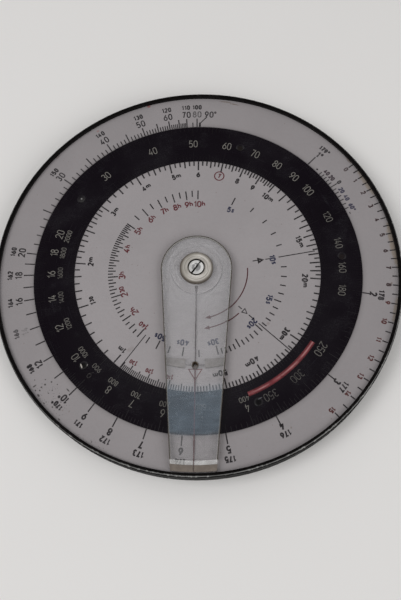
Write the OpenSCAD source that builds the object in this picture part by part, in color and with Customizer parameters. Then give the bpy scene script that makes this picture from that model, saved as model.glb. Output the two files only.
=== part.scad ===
// Circular flight computer: a slide rule of three rings on the front, a wind disc on the rear.
// The rear rim rests on z = 0, the pivot axis is +Z, and the pointer rests along -Y.

/* [Rim hoop] */
// Outside diameter of the hoop
rim_d = 150; // [140:1:160]
// Radial thickness of the hoop's wall
rim_wall = 1.6; // [1.2:0.1:2]
// How far the hoop stands proud of the front face
front_lip = 1.2; // [0.6:0.1:1.6]
// How far the hoop stands proud of the rear face
rear_lip = 0.8; // [0.5:0.1:1.2]
// Bevel on the hoop's outer edges
rim_bevel = 0.4; // [0.2:0.1:0.6]
// Radial width of the inner ledge that the plates are fixed to
ledge_w = 3.2; // [2.8:0.1:4]

/* [Fixed plates] */
// Thickness of the base plate
base_t = 1.6; // [1.2:0.1:2.2]
// Thickness of the ledge and of the spacers in front of the base plate
spacer_t = 1.6; // [1.5:0.1:2.2]
// Thickness of the two printed front plates
plate_t = 1; // [0.8:0.1:1.4]
// Radial width of the printed outer scale ring
scale_ring_w = 12.8; // [12:0.1:14]

/* [Speed ring] */
// Radial width of the black ring between the white plates
speed_ring_w = 15.2; // [14:0.1:17]
// Reach of each captured flange under the plate beside it
flange_w = 2; // [1:0.1:3]
// Thickness of the captured flanges
flange_t = 0.7; // [0.5:0.1:0.9]
// Axial play between the flanges and the plates above them
flange_play = 0.1; // [0.05:0.01:0.2]
// Radial gap round everything that turns
run_gap = 0.08; // [0.03:0.01:0.1]
// Diameter of a finger dimple
dimple_d = 3.2; // [2.4:0.1:4]
// Depth of a finger dimple
dimple_depth = 0.7; // [0.3:0.1:1]
// Distance of the dimples from the ring's outer edge
dimple_inset = 7; // [4:0.1:9]
// Radial width of the red range band
range_w = 1.9; // [1.5:0.1:3]
// Distance of the range band from the ring's inner edge
range_inset = 3.3; // [2:0.1:4]
// Angle that the range band spans
range_span = 35; // [20:1:50]
// Angle of the band's middle, anticlockwise from +X
range_mid_angle = -50.5; // [-70:0.5:-30]
// Depth of the groove that holds the range band
range_groove = 0.4; // [0.2:0.1:0.8]
// How far the range band stands proud of the ring
range_proud = 0.1; // [0:0.05:0.2]
// Radial width of the felt friction ring
felt_w = 8; // [5:0.5:11]
// Depth of the felt's groove in the base plate
felt_groove = 0.3; // [0.2:0.1:0.6]

/* [Pointer] */
// Thickness of the clear pointer
pointer_t = 2; // [1.6:0.1:3]
// Radius of the pointer's round head
head_r = 13.1; // [11:0.1:15]
// How far the straight sides start inside the head's outline
shoulder = 0.05; // [0.05:0.01:0.2]
// Half of the pointer's width at its tip
tip_half_w = 7.95; // [6:0.05:9]
// Gap between the tip and the hoop
tip_gap = 0.3; // [0.2:0.05:0.8]
// Radial width of the steep facet above the tip's bevel
facet_w = 1.5; // [0.8:0.1:2]
// Depth of the steep facet
facet_drop = 0.5; // [0.2:0.1:0.7]
// Radial width of the shallow bevel at the tip
bevel_w = 2.3; // [1.5:0.1:3]
// Depth of the shallow bevel
bevel_drop = 0.4; // [0.2:0.1:0.6]
// Width of the engraved hairline on the underside
hairline_w = 0.3; // [0.15:0.05:0.5]
// Depth of the engraved hairline
hairline_depth = 0.15; // [0.1:0.05:0.3]
// Distance of the pencil hole from the pivot
pencil_r = 36; // [30:0.5:40]
// Diameter of the pencil hole at the top
pencil_top_d = 2.2; // [1.8:0.1:3.4]
// Diameter of the pencil hole at the underside
pencil_low_d = 1.2; // [0.8:0.1:1.7]
// Thickness of the slip washer under the pointer
slip_t = 0.5; // [0.3:0.1:0.8]
// Diameter of the slip washer
slip_d = 18.6; // [14:0.2:24]

/* [Pivot] */
// Diameter of the hub's flange on the base plate
hub_flange_d = 16; // [14:0.5:20]
// Thickness of the hub's flange
hub_flange_t = 0.8; // [0.6:0.1:1.2]
// Diameter of the hub where it passes through the plates
hub_d = 8; // [7:0.1:9]
// Diameter of the neck that the pointer turns on
neck_d = 4; // [3.6:0.1:4.6]
// Outside diameter of the pointer's bush
bush_d = 8; // [7.2:0.1:9]
// Height of the bush above the pointer
bush_stand = 0.5; // [0.3:0.1:0.8]
// Diameter of the nickel collar
collar_d = 12.2; // [11:0.1:14]
// Thickness of the collar
collar_t = 1.6; // [1.3:0.1:2.2]
// Height of the collar's plain outer wall
collar_wall = 0.9; // [0.5:0.1:1.1]
// Diameter of the pivot screw's head
screw_head_d = 5.6; // [5:0.1:6]
// Height of the pivot screw's head
screw_head_t = 0.9; // [0.7:0.1:1.2]
// Bevel round the pivot screw's head
screw_bevel = 0.25; // [0.1:0.05:0.3]
// Thread diameter of the pivot screw
screw_d = 2.5; // [2:0.1:3]
// Length of the pivot screw below its head
screw_len = 5; // [4:0.1:5.6]
// Gap round the screw head in the collar
head_gap = 0.35; // [0.2:0.05:0.5]
// Width of the screwdriver slot
slot_w = 0.7; // [0.5:0.1:1]
// Depth of the screwdriver slot
slot_depth = 0.5; // [0.3:0.1:0.6]
// Angle of the screwdriver slot
slot_angle = 54; // [0:1:180]
// Thickness of the spring washer under the screw head
spring_t = 0.3; // [0.2:0.05:0.4]

/* [Rear side] */
// Radial width of the fixed compass ring
compass_w = 13.4; // [12:0.1:15]
// Thickness of the printed grid card
card_t = 0.5; // [0.3:0.1:0.8]
// Thickness of the clear wind disc
wind_t = 1; // [0.8:0.1:1.6]
// Thickness of the slip washer between the card and the wind disc
rear_slip_t = 0.2; // [0.1:0.05:0.3]
// Diameter of the rear slip washer
rear_slip_d = 13; // [11:0.5:16]
// Diameter of the hub's rear neck
rear_neck_d = 5.2; // [4.8:0.1:6]
// Outside diameter of the wind disc's bush
wind_bush_d = 9; // [8:0.1:10]
// Thickness of the rear spring washer
rear_spring_t = 0.25; // [0.2:0.05:0.4]
// Diameter of the rear nut
nut_d = 11; // [10:0.5:13]
// Thickness of the rear nut
nut_t = 0.6; // [0.5:0.1:0.9]
// Thread diameter of the rear nut
nut_thread_d = 3.8; // [3.4:0.1:4.2]
// Diameter of a spanner hole in the rear nut
spanner_d = 1.2; // [0.8:0.1:1.4]
// Clearance of the rear nut above whatever the rim rests on
nut_clear = 0.25; // [0.1:0.05:0.5]
// Diameter of a finger dimple in the wind disc
wind_dimple_d = 6; // [4:0.5:8]
// Depth of a finger dimple in the wind disc
wind_dimple_depth = 0.4; // [0.2:0.1:0.6]
// Distance of the wind disc's dimples from its edge
wind_dimple_inset = 6; // [5:0.5:10]

/* [Fasteners] */
// Shank diameter of the countersunk screws
csk_d = 1.6; // [1.2:0.1:1.8]
// Head diameter of the countersunk screws
csk_head_d = 2.8; // [2.2:0.1:3]
// Height of the countersunk heads
csk_head_t = 0.7; // [0.5:0.1:0.9]
// Number of screws that hold the hoop's ledge
ledge_screws_n = 8; // [4:1:12]
// Number of screws that hold the compass ring
compass_screws_n = 6; // [4:1:8]
// Number of rivets that hold the outer scale ring
outer_rivets_n = 6; // [4:1:8]
// Number of rivets that hold the inner scale disc
inner_rivets_n = 4; // [3:1:6]
// Number of rivets that hold the hub's flange
hub_rivets_n = 4; // [3:1:6]
// Shank diameter of the plate rivets
rivet_d = 1.4; // [1:0.1:1.6]
// Head diameter of the plate rivets
rivet_head_d = 2.4; // [2:0.1:2.6]
// Height of the plate rivets' countersunk heads
rivet_head_t = 0.5; // [0.3:0.1:0.8]
// Diameter of the dowel pins that line the scales up
dowel_d = 2; // [1.5:0.1:2.4]
// Distance of the dowel pins from the outer edge of the spacer they pass through
dowel_inset = 2; // [1.6:0.1:2.4]
// Distance of the compass ring's screws from its inner edge
compass_screw_inset = 4.2; // [3:0.1:5]
// Metal left in front of a blind rivet, screw or dowel
blind_t = 0.4; // [0.3:0.1:0.6]

/* [Hidden] */

// A cut runs this far past the surface that it opens
over = 1;
// Angles of the finger dimples, between the ring's numerals
dimple_angles = [-65.5, 6, 72.5, 146.5, 222];

// Radii from the rim inwards
rim_r = rim_d / 2;
seat_r = rim_r - rim_wall;
ledge_r = seat_r - ledge_w;
ring_out_r = seat_r - scale_ring_w;
ring_in_r = ring_out_r - speed_ring_w;
flange_out_r = ring_out_r + flange_w - run_gap;
flange_in_r = ring_in_r - flange_w + run_gap;
dimple_r = ring_out_r - dimple_inset;
range_in_r = ring_in_r + range_inset;
range_out_r = range_in_r + range_w;
felt_r = (ring_out_r + ring_in_r) / 2;
compass_r = seat_r - compass_w;
wind_r = compass_r - run_gap;

// Heights from the rear rim, where the instrument rests, to the front
nut_z = nut_clear;
rear_spring_z = nut_z + nut_t;
wind_z = rear_spring_z + rear_spring_t;
rear_slip_z = wind_z + wind_t;
card_z = rear_slip_z + rear_slip_t;
base_z = card_z + card_t;
spacer_z = base_z + base_t;
plate_z = spacer_z + spacer_t;
face_z = plate_z + plate_t;
rim_z = face_z + front_lip;
flange_z = plate_z - flange_play - flange_t;
felt_z = spacer_z - felt_groove;
pointer_z = face_z + slip_t;
pointer_top_z = pointer_z + pointer_t;
bush_top_z = pointer_top_z + bush_stand;
collar_top_z = pointer_top_z + collar_t;
neck_top_z = bush_top_z - flange_play;
head_z = bush_top_z + spring_t;

// Places of the fasteners
ledge_screw_r = seat_r - ledge_w / 2;
outer_rivet_r = (ledge_r + ring_out_r + flange_w) / 2;
inner_rivet_r = (ring_in_r - flange_w + hub_flange_d / 2) / 2;
hub_rivet_r = (hub_flange_d + hub_d) / 4;
compass_screw_r = compass_r + compass_screw_inset;
outer_dowel_r = ledge_r - dowel_inset;
inner_dowel_r = ring_in_r - flange_w - dowel_inset;

// Places of the pieces round the pivot
tip_r = seat_r - tip_gap;
bevel_r = tip_r - bevel_w;
facet_r = bevel_r - facet_w;
bush_bore_r = neck_d / 2 + run_gap / 2;
head_bore_r = screw_head_d / 2 + head_gap;
wind_bore_r = rear_neck_d / 2 + run_gap / 2;
nut_hole_r = (nut_d + nut_thread_d) / 4;
screw_bore_low_z = head_z - screw_len;

$fn = 128;

// Ring of rectangular section between two radii and two heights
module ring(r_in, r_out, z_low, z_high) {
    rotate_extrude()
        translate([r_in, z_low])
            square([r_out - r_in, z_high - z_low]);
}

// Plain round disc or bore on the pivot axis
module disc(r, z_low, z_high) {
    translate([0, 0, z_low])
        cylinder(r = r, h = z_high - z_low);
}

// Copies of the children on a circle, the first at angle "first"
module around(n, r, first = 0) {
    for (i = [0 : n - 1])
        rotate([0, 0, first + i * 360 / n])
            translate([r, 0, 0])
                children();
}

// Countersunk screw or rivet that enters from the rear, with its flat head at z_low
module countersunk(shank_d, head_d, head_t, z_low, z_high) {
    translate([0, 0, z_low]) {
        cylinder(d1 = head_d, d2 = shank_d, h = head_t, $fn = 32);
        cylinder(d = shank_d, h = z_high - z_low, $fn = 32);
    }
}

// The four kinds of flush fastener, used as solids and as the holes they fill
module ledge_screw_set() {
    around(ledge_screws_n, ledge_screw_r)
        countersunk(csk_d, csk_head_d, csk_head_t, base_z, plate_z - blind_t);
}

module outer_rivet_set() {
    around(outer_rivets_n, outer_rivet_r, 180 / outer_rivets_n)
        countersunk(rivet_d, rivet_head_d, rivet_head_t, base_z, face_z - blind_t);
}

module inner_rivet_set() {
    around(inner_rivets_n, inner_rivet_r, 180 / inner_rivets_n)
        countersunk(rivet_d, rivet_head_d, rivet_head_t, base_z, face_z - blind_t);
}

module hub_rivet_set() {
    around(hub_rivets_n, hub_rivet_r)
        countersunk(rivet_d, rivet_head_d, rivet_head_t, base_z, spacer_z + hub_flange_t);
}

module compass_screw_set() {
    around(compass_screws_n, compass_screw_r)
        countersunk(csk_d, csk_head_d, csk_head_t, rear_lip, spacer_z);
}

module dowel_set() {
    for (r = [inner_dowel_r, outer_dowel_r])
        around(2, r)
            translate([0, 0, base_z])
                cylinder(d = dowel_d, h = face_z - blind_t - base_z, $fn = 32);
}

module rim_hoop() {
    color([0.08, 0.08, 0.09])
        difference() {
            rotate_extrude()
                polygon([
                    [seat_r, 0],
                    [rim_r - rim_bevel, 0],
                    [rim_r, rim_bevel],
                    [rim_r, rim_z - rim_bevel],
                    [rim_r - rim_bevel, rim_z],
                    [seat_r, rim_z],
                    [seat_r, plate_z],
                    [ledge_r, plate_z],
                    [ledge_r, spacer_z],
                    [seat_r, spacer_z]
                ]);
            ledge_screw_set();
        }
}

module base_plate() {
    color([0.66, 0.67, 0.69])
        difference() {
            ring(hub_d / 2, seat_r, base_z, spacer_z);
            ring(felt_r - felt_w / 2, felt_r + felt_w / 2, felt_z, spacer_z + over);
            ledge_screw_set();
            outer_rivet_set();
            inner_rivet_set();
            hub_rivet_set();
            compass_screw_set();
            dowel_set();
        }
}

module outer_spacer() {
    color([0.62, 0.63, 0.65])
        difference() {
            ring(ring_out_r + flange_w, ledge_r, spacer_z, plate_z);
            outer_rivet_set();
            dowel_set();
        }
}

module inner_spacer() {
    color([0.62, 0.63, 0.65])
        difference() {
            ring(hub_d / 2, ring_in_r - flange_w, spacer_z, plate_z);
            disc(hub_flange_d / 2, spacer_z - over, spacer_z + hub_flange_t);
            inner_rivet_set();
            dowel_set();
        }
}

module outer_scale_ring() {
    color([0.86, 0.85, 0.83])
        difference() {
            ring(ring_out_r, seat_r, plate_z, face_z);
            outer_rivet_set();
            dowel_set();
        }
}

module inner_scale_disc() {
    color([0.86, 0.85, 0.83])
        difference() {
            ring(hub_d / 2, ring_in_r, plate_z, face_z);
            inner_rivet_set();
            dowel_set();
        }
}

// Sector of the range band, from its groove's floor to the height given
module range_sector(z_high) {
    rotate([0, 0, range_mid_angle - range_span / 2])
        rotate_extrude(angle = range_span)
            translate([range_in_r, face_z - range_groove])
                square([range_w, z_high - face_z + range_groove]);
}

// The dimples are caps of a sphere, as wide and as deep as named
module finger_dimple(width, depth) {
    ball_r = (width * width / 4 + depth * depth) / (2 * depth);
    translate([0, 0, ball_r - depth])
        sphere(r = ball_r, $fn = 64);
}

module speed_ring() {
    color([0.07, 0.07, 0.08])
        difference() {
            union() {
                ring(flange_in_r, flange_out_r, flange_z, flange_z + flange_t);
                ring(ring_in_r + run_gap, ring_out_r - run_gap, flange_z, face_z);
            }
            range_sector(face_z + over);
            for (a = dimple_angles)
                rotate([0, 0, a])
                    translate([dimple_r, 0, face_z])
                        finger_dimple(dimple_d, dimple_depth);
        }
}

module range_band() {
    color([0.6, 0.15, 0.17])
        range_sector(face_z + range_proud);
}

module friction_felt() {
    color([0.35, 0.33, 0.3])
        ring(felt_r - felt_w / 2, felt_r + felt_w / 2, felt_z, flange_z);
}

module centre_hub() {
    color([0.72, 0.6, 0.35])
        difference() {
            union() {
                disc(nut_thread_d / 2, nut_z, rear_spring_z);
                disc(rear_neck_d / 2, rear_spring_z, base_z);
                disc(hub_d / 2, base_z, face_z);
                disc(hub_flange_d / 2, spacer_z, spacer_z + hub_flange_t);
                disc(neck_d / 2, face_z, neck_top_z);
            }
            disc(screw_d / 2, screw_bore_low_z, neck_top_z + over);
            hub_rivet_set();
        }
}

module hub_rivets() {
    color([0.6, 0.6, 0.62])
        hub_rivet_set();
}

module ledge_screws() {
    color([0.55, 0.55, 0.57])
        ledge_screw_set();
}

module outer_ring_rivets() {
    color([0.6, 0.6, 0.62])
        outer_rivet_set();
}

module inner_disc_rivets() {
    color([0.6, 0.6, 0.62])
        inner_rivet_set();
}

module dowel_pins() {
    color([0.5, 0.5, 0.52])
        dowel_set();
}

module slip_washer() {
    color([0.8, 0.8, 0.78])
        ring(neck_d / 2, slip_d / 2, face_z, pointer_z);
}

// Round head with straight sides that run from its widest place out past the tip
module pointer_blank() {
    head_half_w = head_r - shoulder;
    end_half_w = head_half_w - (head_half_w - tip_half_w) * rim_r / tip_r;
    disc(head_r, pointer_z, pointer_top_z);
    translate([0, 0, pointer_z])
        linear_extrude(pointer_t)
            polygon([
                [0, head_half_w],
                [rim_r, end_half_w],
                [rim_r, -end_half_w],
                [0, -head_half_w]
            ]);
}

module pointer_arm() {
    color([0.8, 0.85, 0.88, 0.5])
        rotate([0, 0, -90])
            difference() {
                intersection() {
                    pointer_blank();
                    rotate_extrude()
                        polygon([
                            [0, pointer_z - over],
                            [tip_r, pointer_z - over],
                            [tip_r, pointer_top_z - facet_drop - bevel_drop],
                            [bevel_r, pointer_top_z - facet_drop],
                            [facet_r, pointer_top_z],
                            [facet_r, pointer_top_z + over],
                            [0, pointer_top_z + over]
                        ]);
                }
                disc(bush_d / 2, pointer_z - over, pointer_top_z + over);
                translate([slip_d / 2, -hairline_w / 2, pointer_z - over])
                    cube([rim_r, hairline_w, over + hairline_depth]);
                translate([pencil_r, 0, pointer_z])
                    cylinder(d1 = pencil_low_d, d2 = pencil_top_d, h = pointer_t, $fn = 48);
                translate([pencil_r, 0, pointer_z - over])
                    cylinder(d = pencil_low_d, h = over, $fn = 48);
            }
}

module pointer_bush() {
    color([0.7, 0.68, 0.62])
        ring(bush_bore_r, bush_d / 2, pointer_z, bush_top_z);
}

// The collar's crown is a quarter of an ellipse from its outer wall to its bore
module pointer_collar() {
    crown_z = pointer_top_z + collar_wall;
    crown_w = collar_d / 2 - head_bore_r;
    crown_h = collar_top_z - crown_z;
    crown = [for (a = [0 : 15 : 90]) [
        head_bore_r + crown_w * cos(a),
        crown_z + crown_h * sin(a)
    ]];
    color([0.74, 0.71, 0.65])
        rotate_extrude()
            polygon(concat([
                [bush_d / 2, bush_top_z],
                [bush_d / 2, pointer_top_z],
                [collar_d / 2, pointer_top_z]
            ], crown, [
                [head_bore_r, bush_top_z]
            ]));
}

module spring_washer() {
    color([0.5, 0.5, 0.5])
        ring(screw_d / 2, screw_head_d / 2, bush_top_z, head_z);
}

module pivot_screw() {
    top_z = head_z + screw_head_t;
    color([0.78, 0.77, 0.74])
        difference() {
            union() {
                disc(screw_d / 2, screw_bore_low_z, head_z);
                disc(screw_head_d / 2, head_z, top_z - screw_bevel);
                translate([0, 0, top_z - screw_bevel])
                    cylinder(r1 = screw_head_d / 2, r2 = screw_head_d / 2 - screw_bevel, h = screw_bevel);
            }
            rotate([0, 0, slot_angle])
                translate([-screw_head_d, -slot_w / 2, top_z - slot_depth])
                    cube([2 * screw_head_d, slot_w, over]);
        }
}

module grid_card() {
    color([0.88, 0.87, 0.83])
        ring(rear_neck_d / 2, compass_r, card_z, base_z);
}

module compass_ring() {
    color([0.84, 0.83, 0.81])
        difference() {
            ring(compass_r, seat_r, rear_lip, base_z);
            compass_screw_set();
        }
}

module compass_ring_screws() {
    color([0.6, 0.6, 0.6])
        compass_screw_set();
}

module wind_disc() {
    color([0.8, 0.84, 0.86, 0.4])
        difference() {
            ring(wind_bush_d / 2, wind_r, wind_z, wind_z + wind_t);
            around(2, wind_r - wind_dimple_inset)
                translate([0, 0, wind_z])
                    mirror([0, 0, 1])
                        finger_dimple(wind_dimple_d, wind_dimple_depth);
        }
}

module wind_disc_bush() {
    color([0.72, 0.6, 0.35])
        ring(wind_bore_r, wind_bush_d / 2, wind_z, wind_z + wind_t);
}

module rear_slip_washer() {
    color([0.75, 0.74, 0.7])
        ring(rear_neck_d / 2, rear_slip_d / 2, rear_slip_z, card_z);
}

module rear_spring_washer() {
    color([0.5, 0.5, 0.5])
        ring(rear_neck_d / 2, nut_d / 2, rear_spring_z, wind_z);
}

module rear_nut() {
    color([0.74, 0.71, 0.65])
        difference() {
            ring(nut_thread_d / 2, nut_d / 2, nut_z, rear_spring_z);
            around(2, nut_hole_r)
                translate([0, 0, nut_z - over])
                    cylinder(d = spanner_d, h = nut_t + 2 * over, $fn = 32);
        }
}

rim_hoop();
base_plate();
outer_spacer();
inner_spacer();
outer_scale_ring();
inner_scale_disc();
speed_ring();
range_band();
friction_felt();
centre_hub();
hub_rivets();
ledge_screws();
outer_ring_rivets();
inner_disc_rivets();
dowel_pins();
slip_washer();
pointer_arm();
pointer_bush();
pointer_collar();
spring_washer();
pivot_screw();
grid_card();
compass_ring();
compass_ring_screws();
wind_disc();
wind_disc_bush();
rear_slip_washer();
rear_spring_washer();
rear_nut();
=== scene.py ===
"""Looks of a circular flight computer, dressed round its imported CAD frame. Lengths are in millimetres,
except where a name or a heading says otherwise."""
import math

import bpy
import numpy as np
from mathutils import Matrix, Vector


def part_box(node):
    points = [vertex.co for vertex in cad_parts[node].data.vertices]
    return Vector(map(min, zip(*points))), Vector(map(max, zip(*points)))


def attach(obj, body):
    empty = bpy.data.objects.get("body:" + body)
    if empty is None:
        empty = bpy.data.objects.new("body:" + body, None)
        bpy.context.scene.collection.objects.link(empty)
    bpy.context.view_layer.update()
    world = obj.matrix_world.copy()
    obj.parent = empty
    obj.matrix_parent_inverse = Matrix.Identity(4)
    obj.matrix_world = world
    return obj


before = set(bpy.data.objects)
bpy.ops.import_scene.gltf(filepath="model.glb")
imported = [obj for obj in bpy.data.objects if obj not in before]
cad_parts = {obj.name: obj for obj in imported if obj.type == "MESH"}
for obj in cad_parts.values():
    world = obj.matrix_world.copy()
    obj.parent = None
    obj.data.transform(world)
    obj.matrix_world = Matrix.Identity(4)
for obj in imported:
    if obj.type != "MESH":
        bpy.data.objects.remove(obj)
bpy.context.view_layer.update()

# One millimetre in metres, the thickness of printing, and the step between strokes that cross
MM = 0.001
PRINT_T = 0.02
STROKE_STEP = 0.002

# Radii of the face, from the hoop inwards
WALL_R = 74.86
WORN_LINE_R = 74.80
SEAT_R = 73.4
RING_OUT_R = 60.6
DIMPLE_R = 53.6
BAND_R = 49.65
RING_IN_R = 45.4
HOURS_R = 32.9

# The pointer, from its tip inwards to its collar and the screw, and its pencil hole
TIP_R = 73.1
BEVEL_R = 70.8
FACET_R = 69.3
FACET_DROP = 0.5
TIP_DROP = 0.9
HEAD_R = 13.1
SHOULDER_R = 13.05
TIP_HALF_W = 7.95
SLIP_R = 9.3
COLLAR_R = 6.1
SCREW_R = 2.8
PENCIL_R = 36.0
PENCIL_TOP_R = 1.1
PENCIL_LOW_R = 0.6

# Heights that the CAD nodes give
face_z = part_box("outer_scale_ring")[1][2] / MM
rim_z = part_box("rim_hoop")[1][2] / MM
screw_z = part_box("pivot_screw")[1][2] / MM
pointer_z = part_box("pointer_arm")[0][2] / MM
pointer_top_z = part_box("pointer_arm")[1][2] / MM
compass_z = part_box("compass_ring")[0][2] / MM
card_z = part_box("grid_card")[0][2] / MM
wind_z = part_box("wind_disc")[0][2] / MM


# Nodes

class Wire:
    """A value on its way through a node tree. Arithmetic with wires adds Math nodes."""

    def __init__(self, tree, socket):
        self.tree = tree
        self.socket = socket

    def __add__(self, other):
        return calc(self.tree, "ADD", self, other)

    def __radd__(self, other):
        return calc(self.tree, "ADD", other, self)

    def __sub__(self, other):
        return calc(self.tree, "SUBTRACT", self, other)

    def __rsub__(self, other):
        return calc(self.tree, "SUBTRACT", other, self)

    def __mul__(self, other):
        return calc(self.tree, "MULTIPLY", self, other)

    def __abs__(self):
        return calc(self.tree, "ABSOLUTE", self)

    def larger(self, other):
        """The larger of two values."""
        return calc(self.tree, "MAXIMUM", self, other)

    def rise(self, low, high):
        """0 below low, 1 above high, smooth between them."""
        wires = {"Value": self, "From Min": low, "From Max": high}
        return lay(self.tree, "MapRange", wires, interpolation_type="SMOOTHSTEP")["Result"]

    def fall(self, low, high):
        """1 below low, 0 above high, smooth between them."""
        return 1.0 - self.rise(low, high)

    def part(self, name):
        """One coordinate of a vector."""
        return lay(self.tree, "SeparateXYZ", {0: self})[name]

    def vector(self, operation, *values, **named):
        """One Vector Math node: the operation on this vector and the values."""
        wires = {**dict(enumerate((self, *values))), **named}
        single = operation in ("LENGTH", "DISTANCE", "DOT_PRODUCT")
        return lay(self.tree, "VectorMath", wires, operation=operation)["Value" if single else "Vector"]

    def stretched(self, scale, turn=0.0):
        """This place turned about Z, in radians, and scaled along its axes."""
        return lay(self.tree, "Mapping", {"Vector": self, "Rotation": (0, 0, turn), "Scale": scale})[0]

    def noise(self, scale, detail, rough=0.5, warp=0.0):
        """A noise at this place."""
        wires = {"Vector": self, "Scale": scale, "Detail": detail, "Roughness": rough, "Distortion": warp}
        return lay(self.tree, "TexNoise", wires)["Fac"]


class Outputs:
    """The outputs of one node, by name or number, as wires."""

    def __init__(self, tree, node):
        self.tree = tree
        self.node = node

    def __getitem__(self, key):
        return Wire(self.tree, self.node.outputs[key])


def lay(tree, kind, wires=(), **settings):
    """Adds one shader node, or a node group where kind is one. wires gives its inputs by name or number,
    as values or as wires to link."""
    is_group = isinstance(kind, bpy.types.NodeTree)
    node = tree.nodes.new("ShaderNodeGroup" if is_group else "ShaderNode" + kind)
    if is_group:
        node.node_tree = kind
    for key, value in settings.items():
        setattr(node, key, value)
    for key, value in dict(wires).items():
        if isinstance(value, Wire):
            tree.links.new(value.socket, node.inputs[key])
        else:
            node.inputs[key].default_value = value
    return Outputs(tree, node)


def calc(tree, operation, *values, clamp=False):
    """One Math node: the operation on the values."""
    return lay(tree, "Math", enumerate(values), operation=operation, use_clamp=clamp)[0]


def blend(tree, factor, first, second):
    """The first colour turning into the second as the factor goes from 0 to 1."""
    return lay(tree, "Mix", {0: factor, 6: first, 7: second}, data_type="RGBA")[2]


def mask(tree, group, **values):
    """The mask of a node group that is placed with its own values."""
    return lay(tree, group, values)["Mask"]


def object_place(tree):
    """Object coordinates in millimetres."""
    return lay(tree, "TexCoord")["Object"].vector("SCALE", Scale=1 / MM)


def node_group(name, **values):
    """Turns the function under it into a shader node group. values gives the group's inputs with their usual
    values. The function gets the tree and the inputs, lays the nodes and returns the outputs by name."""
    def kind(is_vector):
        return "NodeSocketVector" if is_vector else "NodeSocketFloat"

    def build(lay_nodes):
        group = bpy.data.node_groups.new(name, "ShaderNodeTree")
        for label, value in values.items():
            kind_in = kind(isinstance(value, tuple))
            group.interface.new_socket(label, in_out="INPUT", socket_type=kind_in).default_value = value
        given = Outputs(group, group.nodes.new("NodeGroupInput"))
        made = lay_nodes(group, *(given[label] for label in values))
        for label, wire in made.items():
            group.interface.new_socket(label, in_out="OUTPUT", socket_type=kind(wire.socket.type == "VECTOR"))
        result = group.nodes.new("NodeGroupOutput").inputs
        for label, wire in made.items():
            group.links.new(wire.socket, result[label])
        return group

    return build


@node_group("turned place")
def turned_place(tree):
    """Radius and height of a point round the pivot axis, and its direction seen from the axis."""
    place = object_place(tree)
    flat = place.vector("MULTIPLY", (1, 1, 0))
    return {
        "Radius": flat.vector("LENGTH"), "Height": place.part("Z"), "Direction": flat.vector("NORMALIZE"),
        "Place": place,
    }


@node_group("blotches", Grain=0.1, Low=0.45, High=0.65, Roughness=0.55)
def blotches(tree, grain, low, high, rough):
    """Soft cloudy patches: a noise of the given grain, cut between two levels."""
    return {"Mask": object_place(tree).noise(grain, 5.0, rough).rise(low, high)}


@node_group("turning marks", Across=6.0, Along=0.6)
def turning_marks(tree, across, along):
    """Concentric tool marks: a noise that changes fast with the radius and slowly along the circle."""
    spot = lay(tree, turned_place)
    around = spot["Direction"].vector("SCALE", Scale=along)
    wires = {0: around.part("X"), 1: around.part("Y"), 2: spot["Radius"] * across}
    return {"Height": lay(tree, "CombineXYZ", wires)[0].noise(1.0, 3.0, 0.6)}


@node_group("arc scratches", Across=4.0, Along=3.0, Level=0.62, Patches=0.08)
def arc_scratches(tree, across, along, level, patches):
    """Thin bright lines along circles round the pivot, broken up into patches."""
    marks = lay(tree, turning_marks, {"Across": across, "Along": along})["Height"]
    return {"Mask": marks.rise(level, level + 0.1) * mask(tree, blotches, Grain=patches, Low=0.42, High=0.66)}


@node_group("hair scratches", Scale=0.2, Width=0.012, Patches=0.12)
def hair_scratches(tree, scale, width, patches):
    """Fine scratches that run three ways: contour lines of long stretched noises, broken up by patches."""
    place = object_place(tree)
    total = 0.0
    for turn, stretch in ((0.5, 14.0), (1.9, 11.0), (2.7, 17.0)):
        noise = place.stretched((1, stretch, 1), turn).noise(scale, 2.0, warp=0.3)
        total = total + abs(noise - 0.5).fall(0.0, width)
    broken = mask(tree, blotches, Grain=patches, Low=0.5, High=0.62)
    return {"Mask": calc(tree, "MULTIPLY", total, broken, clamp=True)}


@node_group("specks", Scale=0.6, Size=0.14, Share=0.3)
def specks(tree, scale, size, share):
    """Small round specks of dirt or dust: the middles of some cells of a Voronoi pattern."""
    cells = lay(tree, "TexVoronoi", {"Vector": object_place(tree), "Scale": scale})
    chosen = calc(tree, "LESS_THAN", lay(tree, "SeparateColor", {0: cells["Color"]})[0], share)
    return {"Mask": cells["Distance"].fall(size * 0.4, size) * chosen}


@node_group("edge wear", Start=74.0, End=75.0, Ragged=0.5, Grain=1.0)
def edge_wear(tree, start, end, ragged, grain):
    """Wear towards a rim: grows from one radius to another, with a ragged border."""
    spot = lay(tree, turned_place)
    shift = (spot["Place"].noise(grain, 4.0, 0.65) - 0.5) * ragged
    return {"Mask": (spot["Radius"] + shift).rise(start, end)}


@node_group("local mark", Centre=(0.0, 0.0, 0.0), Reach=(1.0, 1.0, 1.0), Turn=0.0, Ragged=0.6, Grain=0.8)
def local_mark(tree, centre, reach, turn, ragged, grain):
    """A single mark such as a stain or a scuff: an ellipsoid about a centre, with a ragged border."""
    place = object_place(tree)
    off = place.vector("SUBTRACT", centre)
    turned = lay(tree, "VectorRotate", {"Vector": off, "Angle": turn}, rotation_type="Z_AXIS")[0]
    distance = turned.vector("DIVIDE", reach).vector("LENGTH")
    shift = (place.noise(grain, 4.0, 0.7) - 0.5) * (ragged * 2.0)
    return {"Mask": (distance + shift).fall(0.5, 1.0)}


@node_group("print wear", Extra=0.0, Grain=3.0)
def print_wear(tree, extra, grain):
    """Where ink has gone: a fine noise added to the piece's own worn value."""
    worn = lay(tree, "Attribute", attribute_name="worn")["Fac"]
    noise = object_place(tree).noise(grain, 3.0, 0.7)
    return {"Mask": (worn + extra + (noise - 0.5) * 0.9).rise(0.1, 0.9)}


# Finishes

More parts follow.
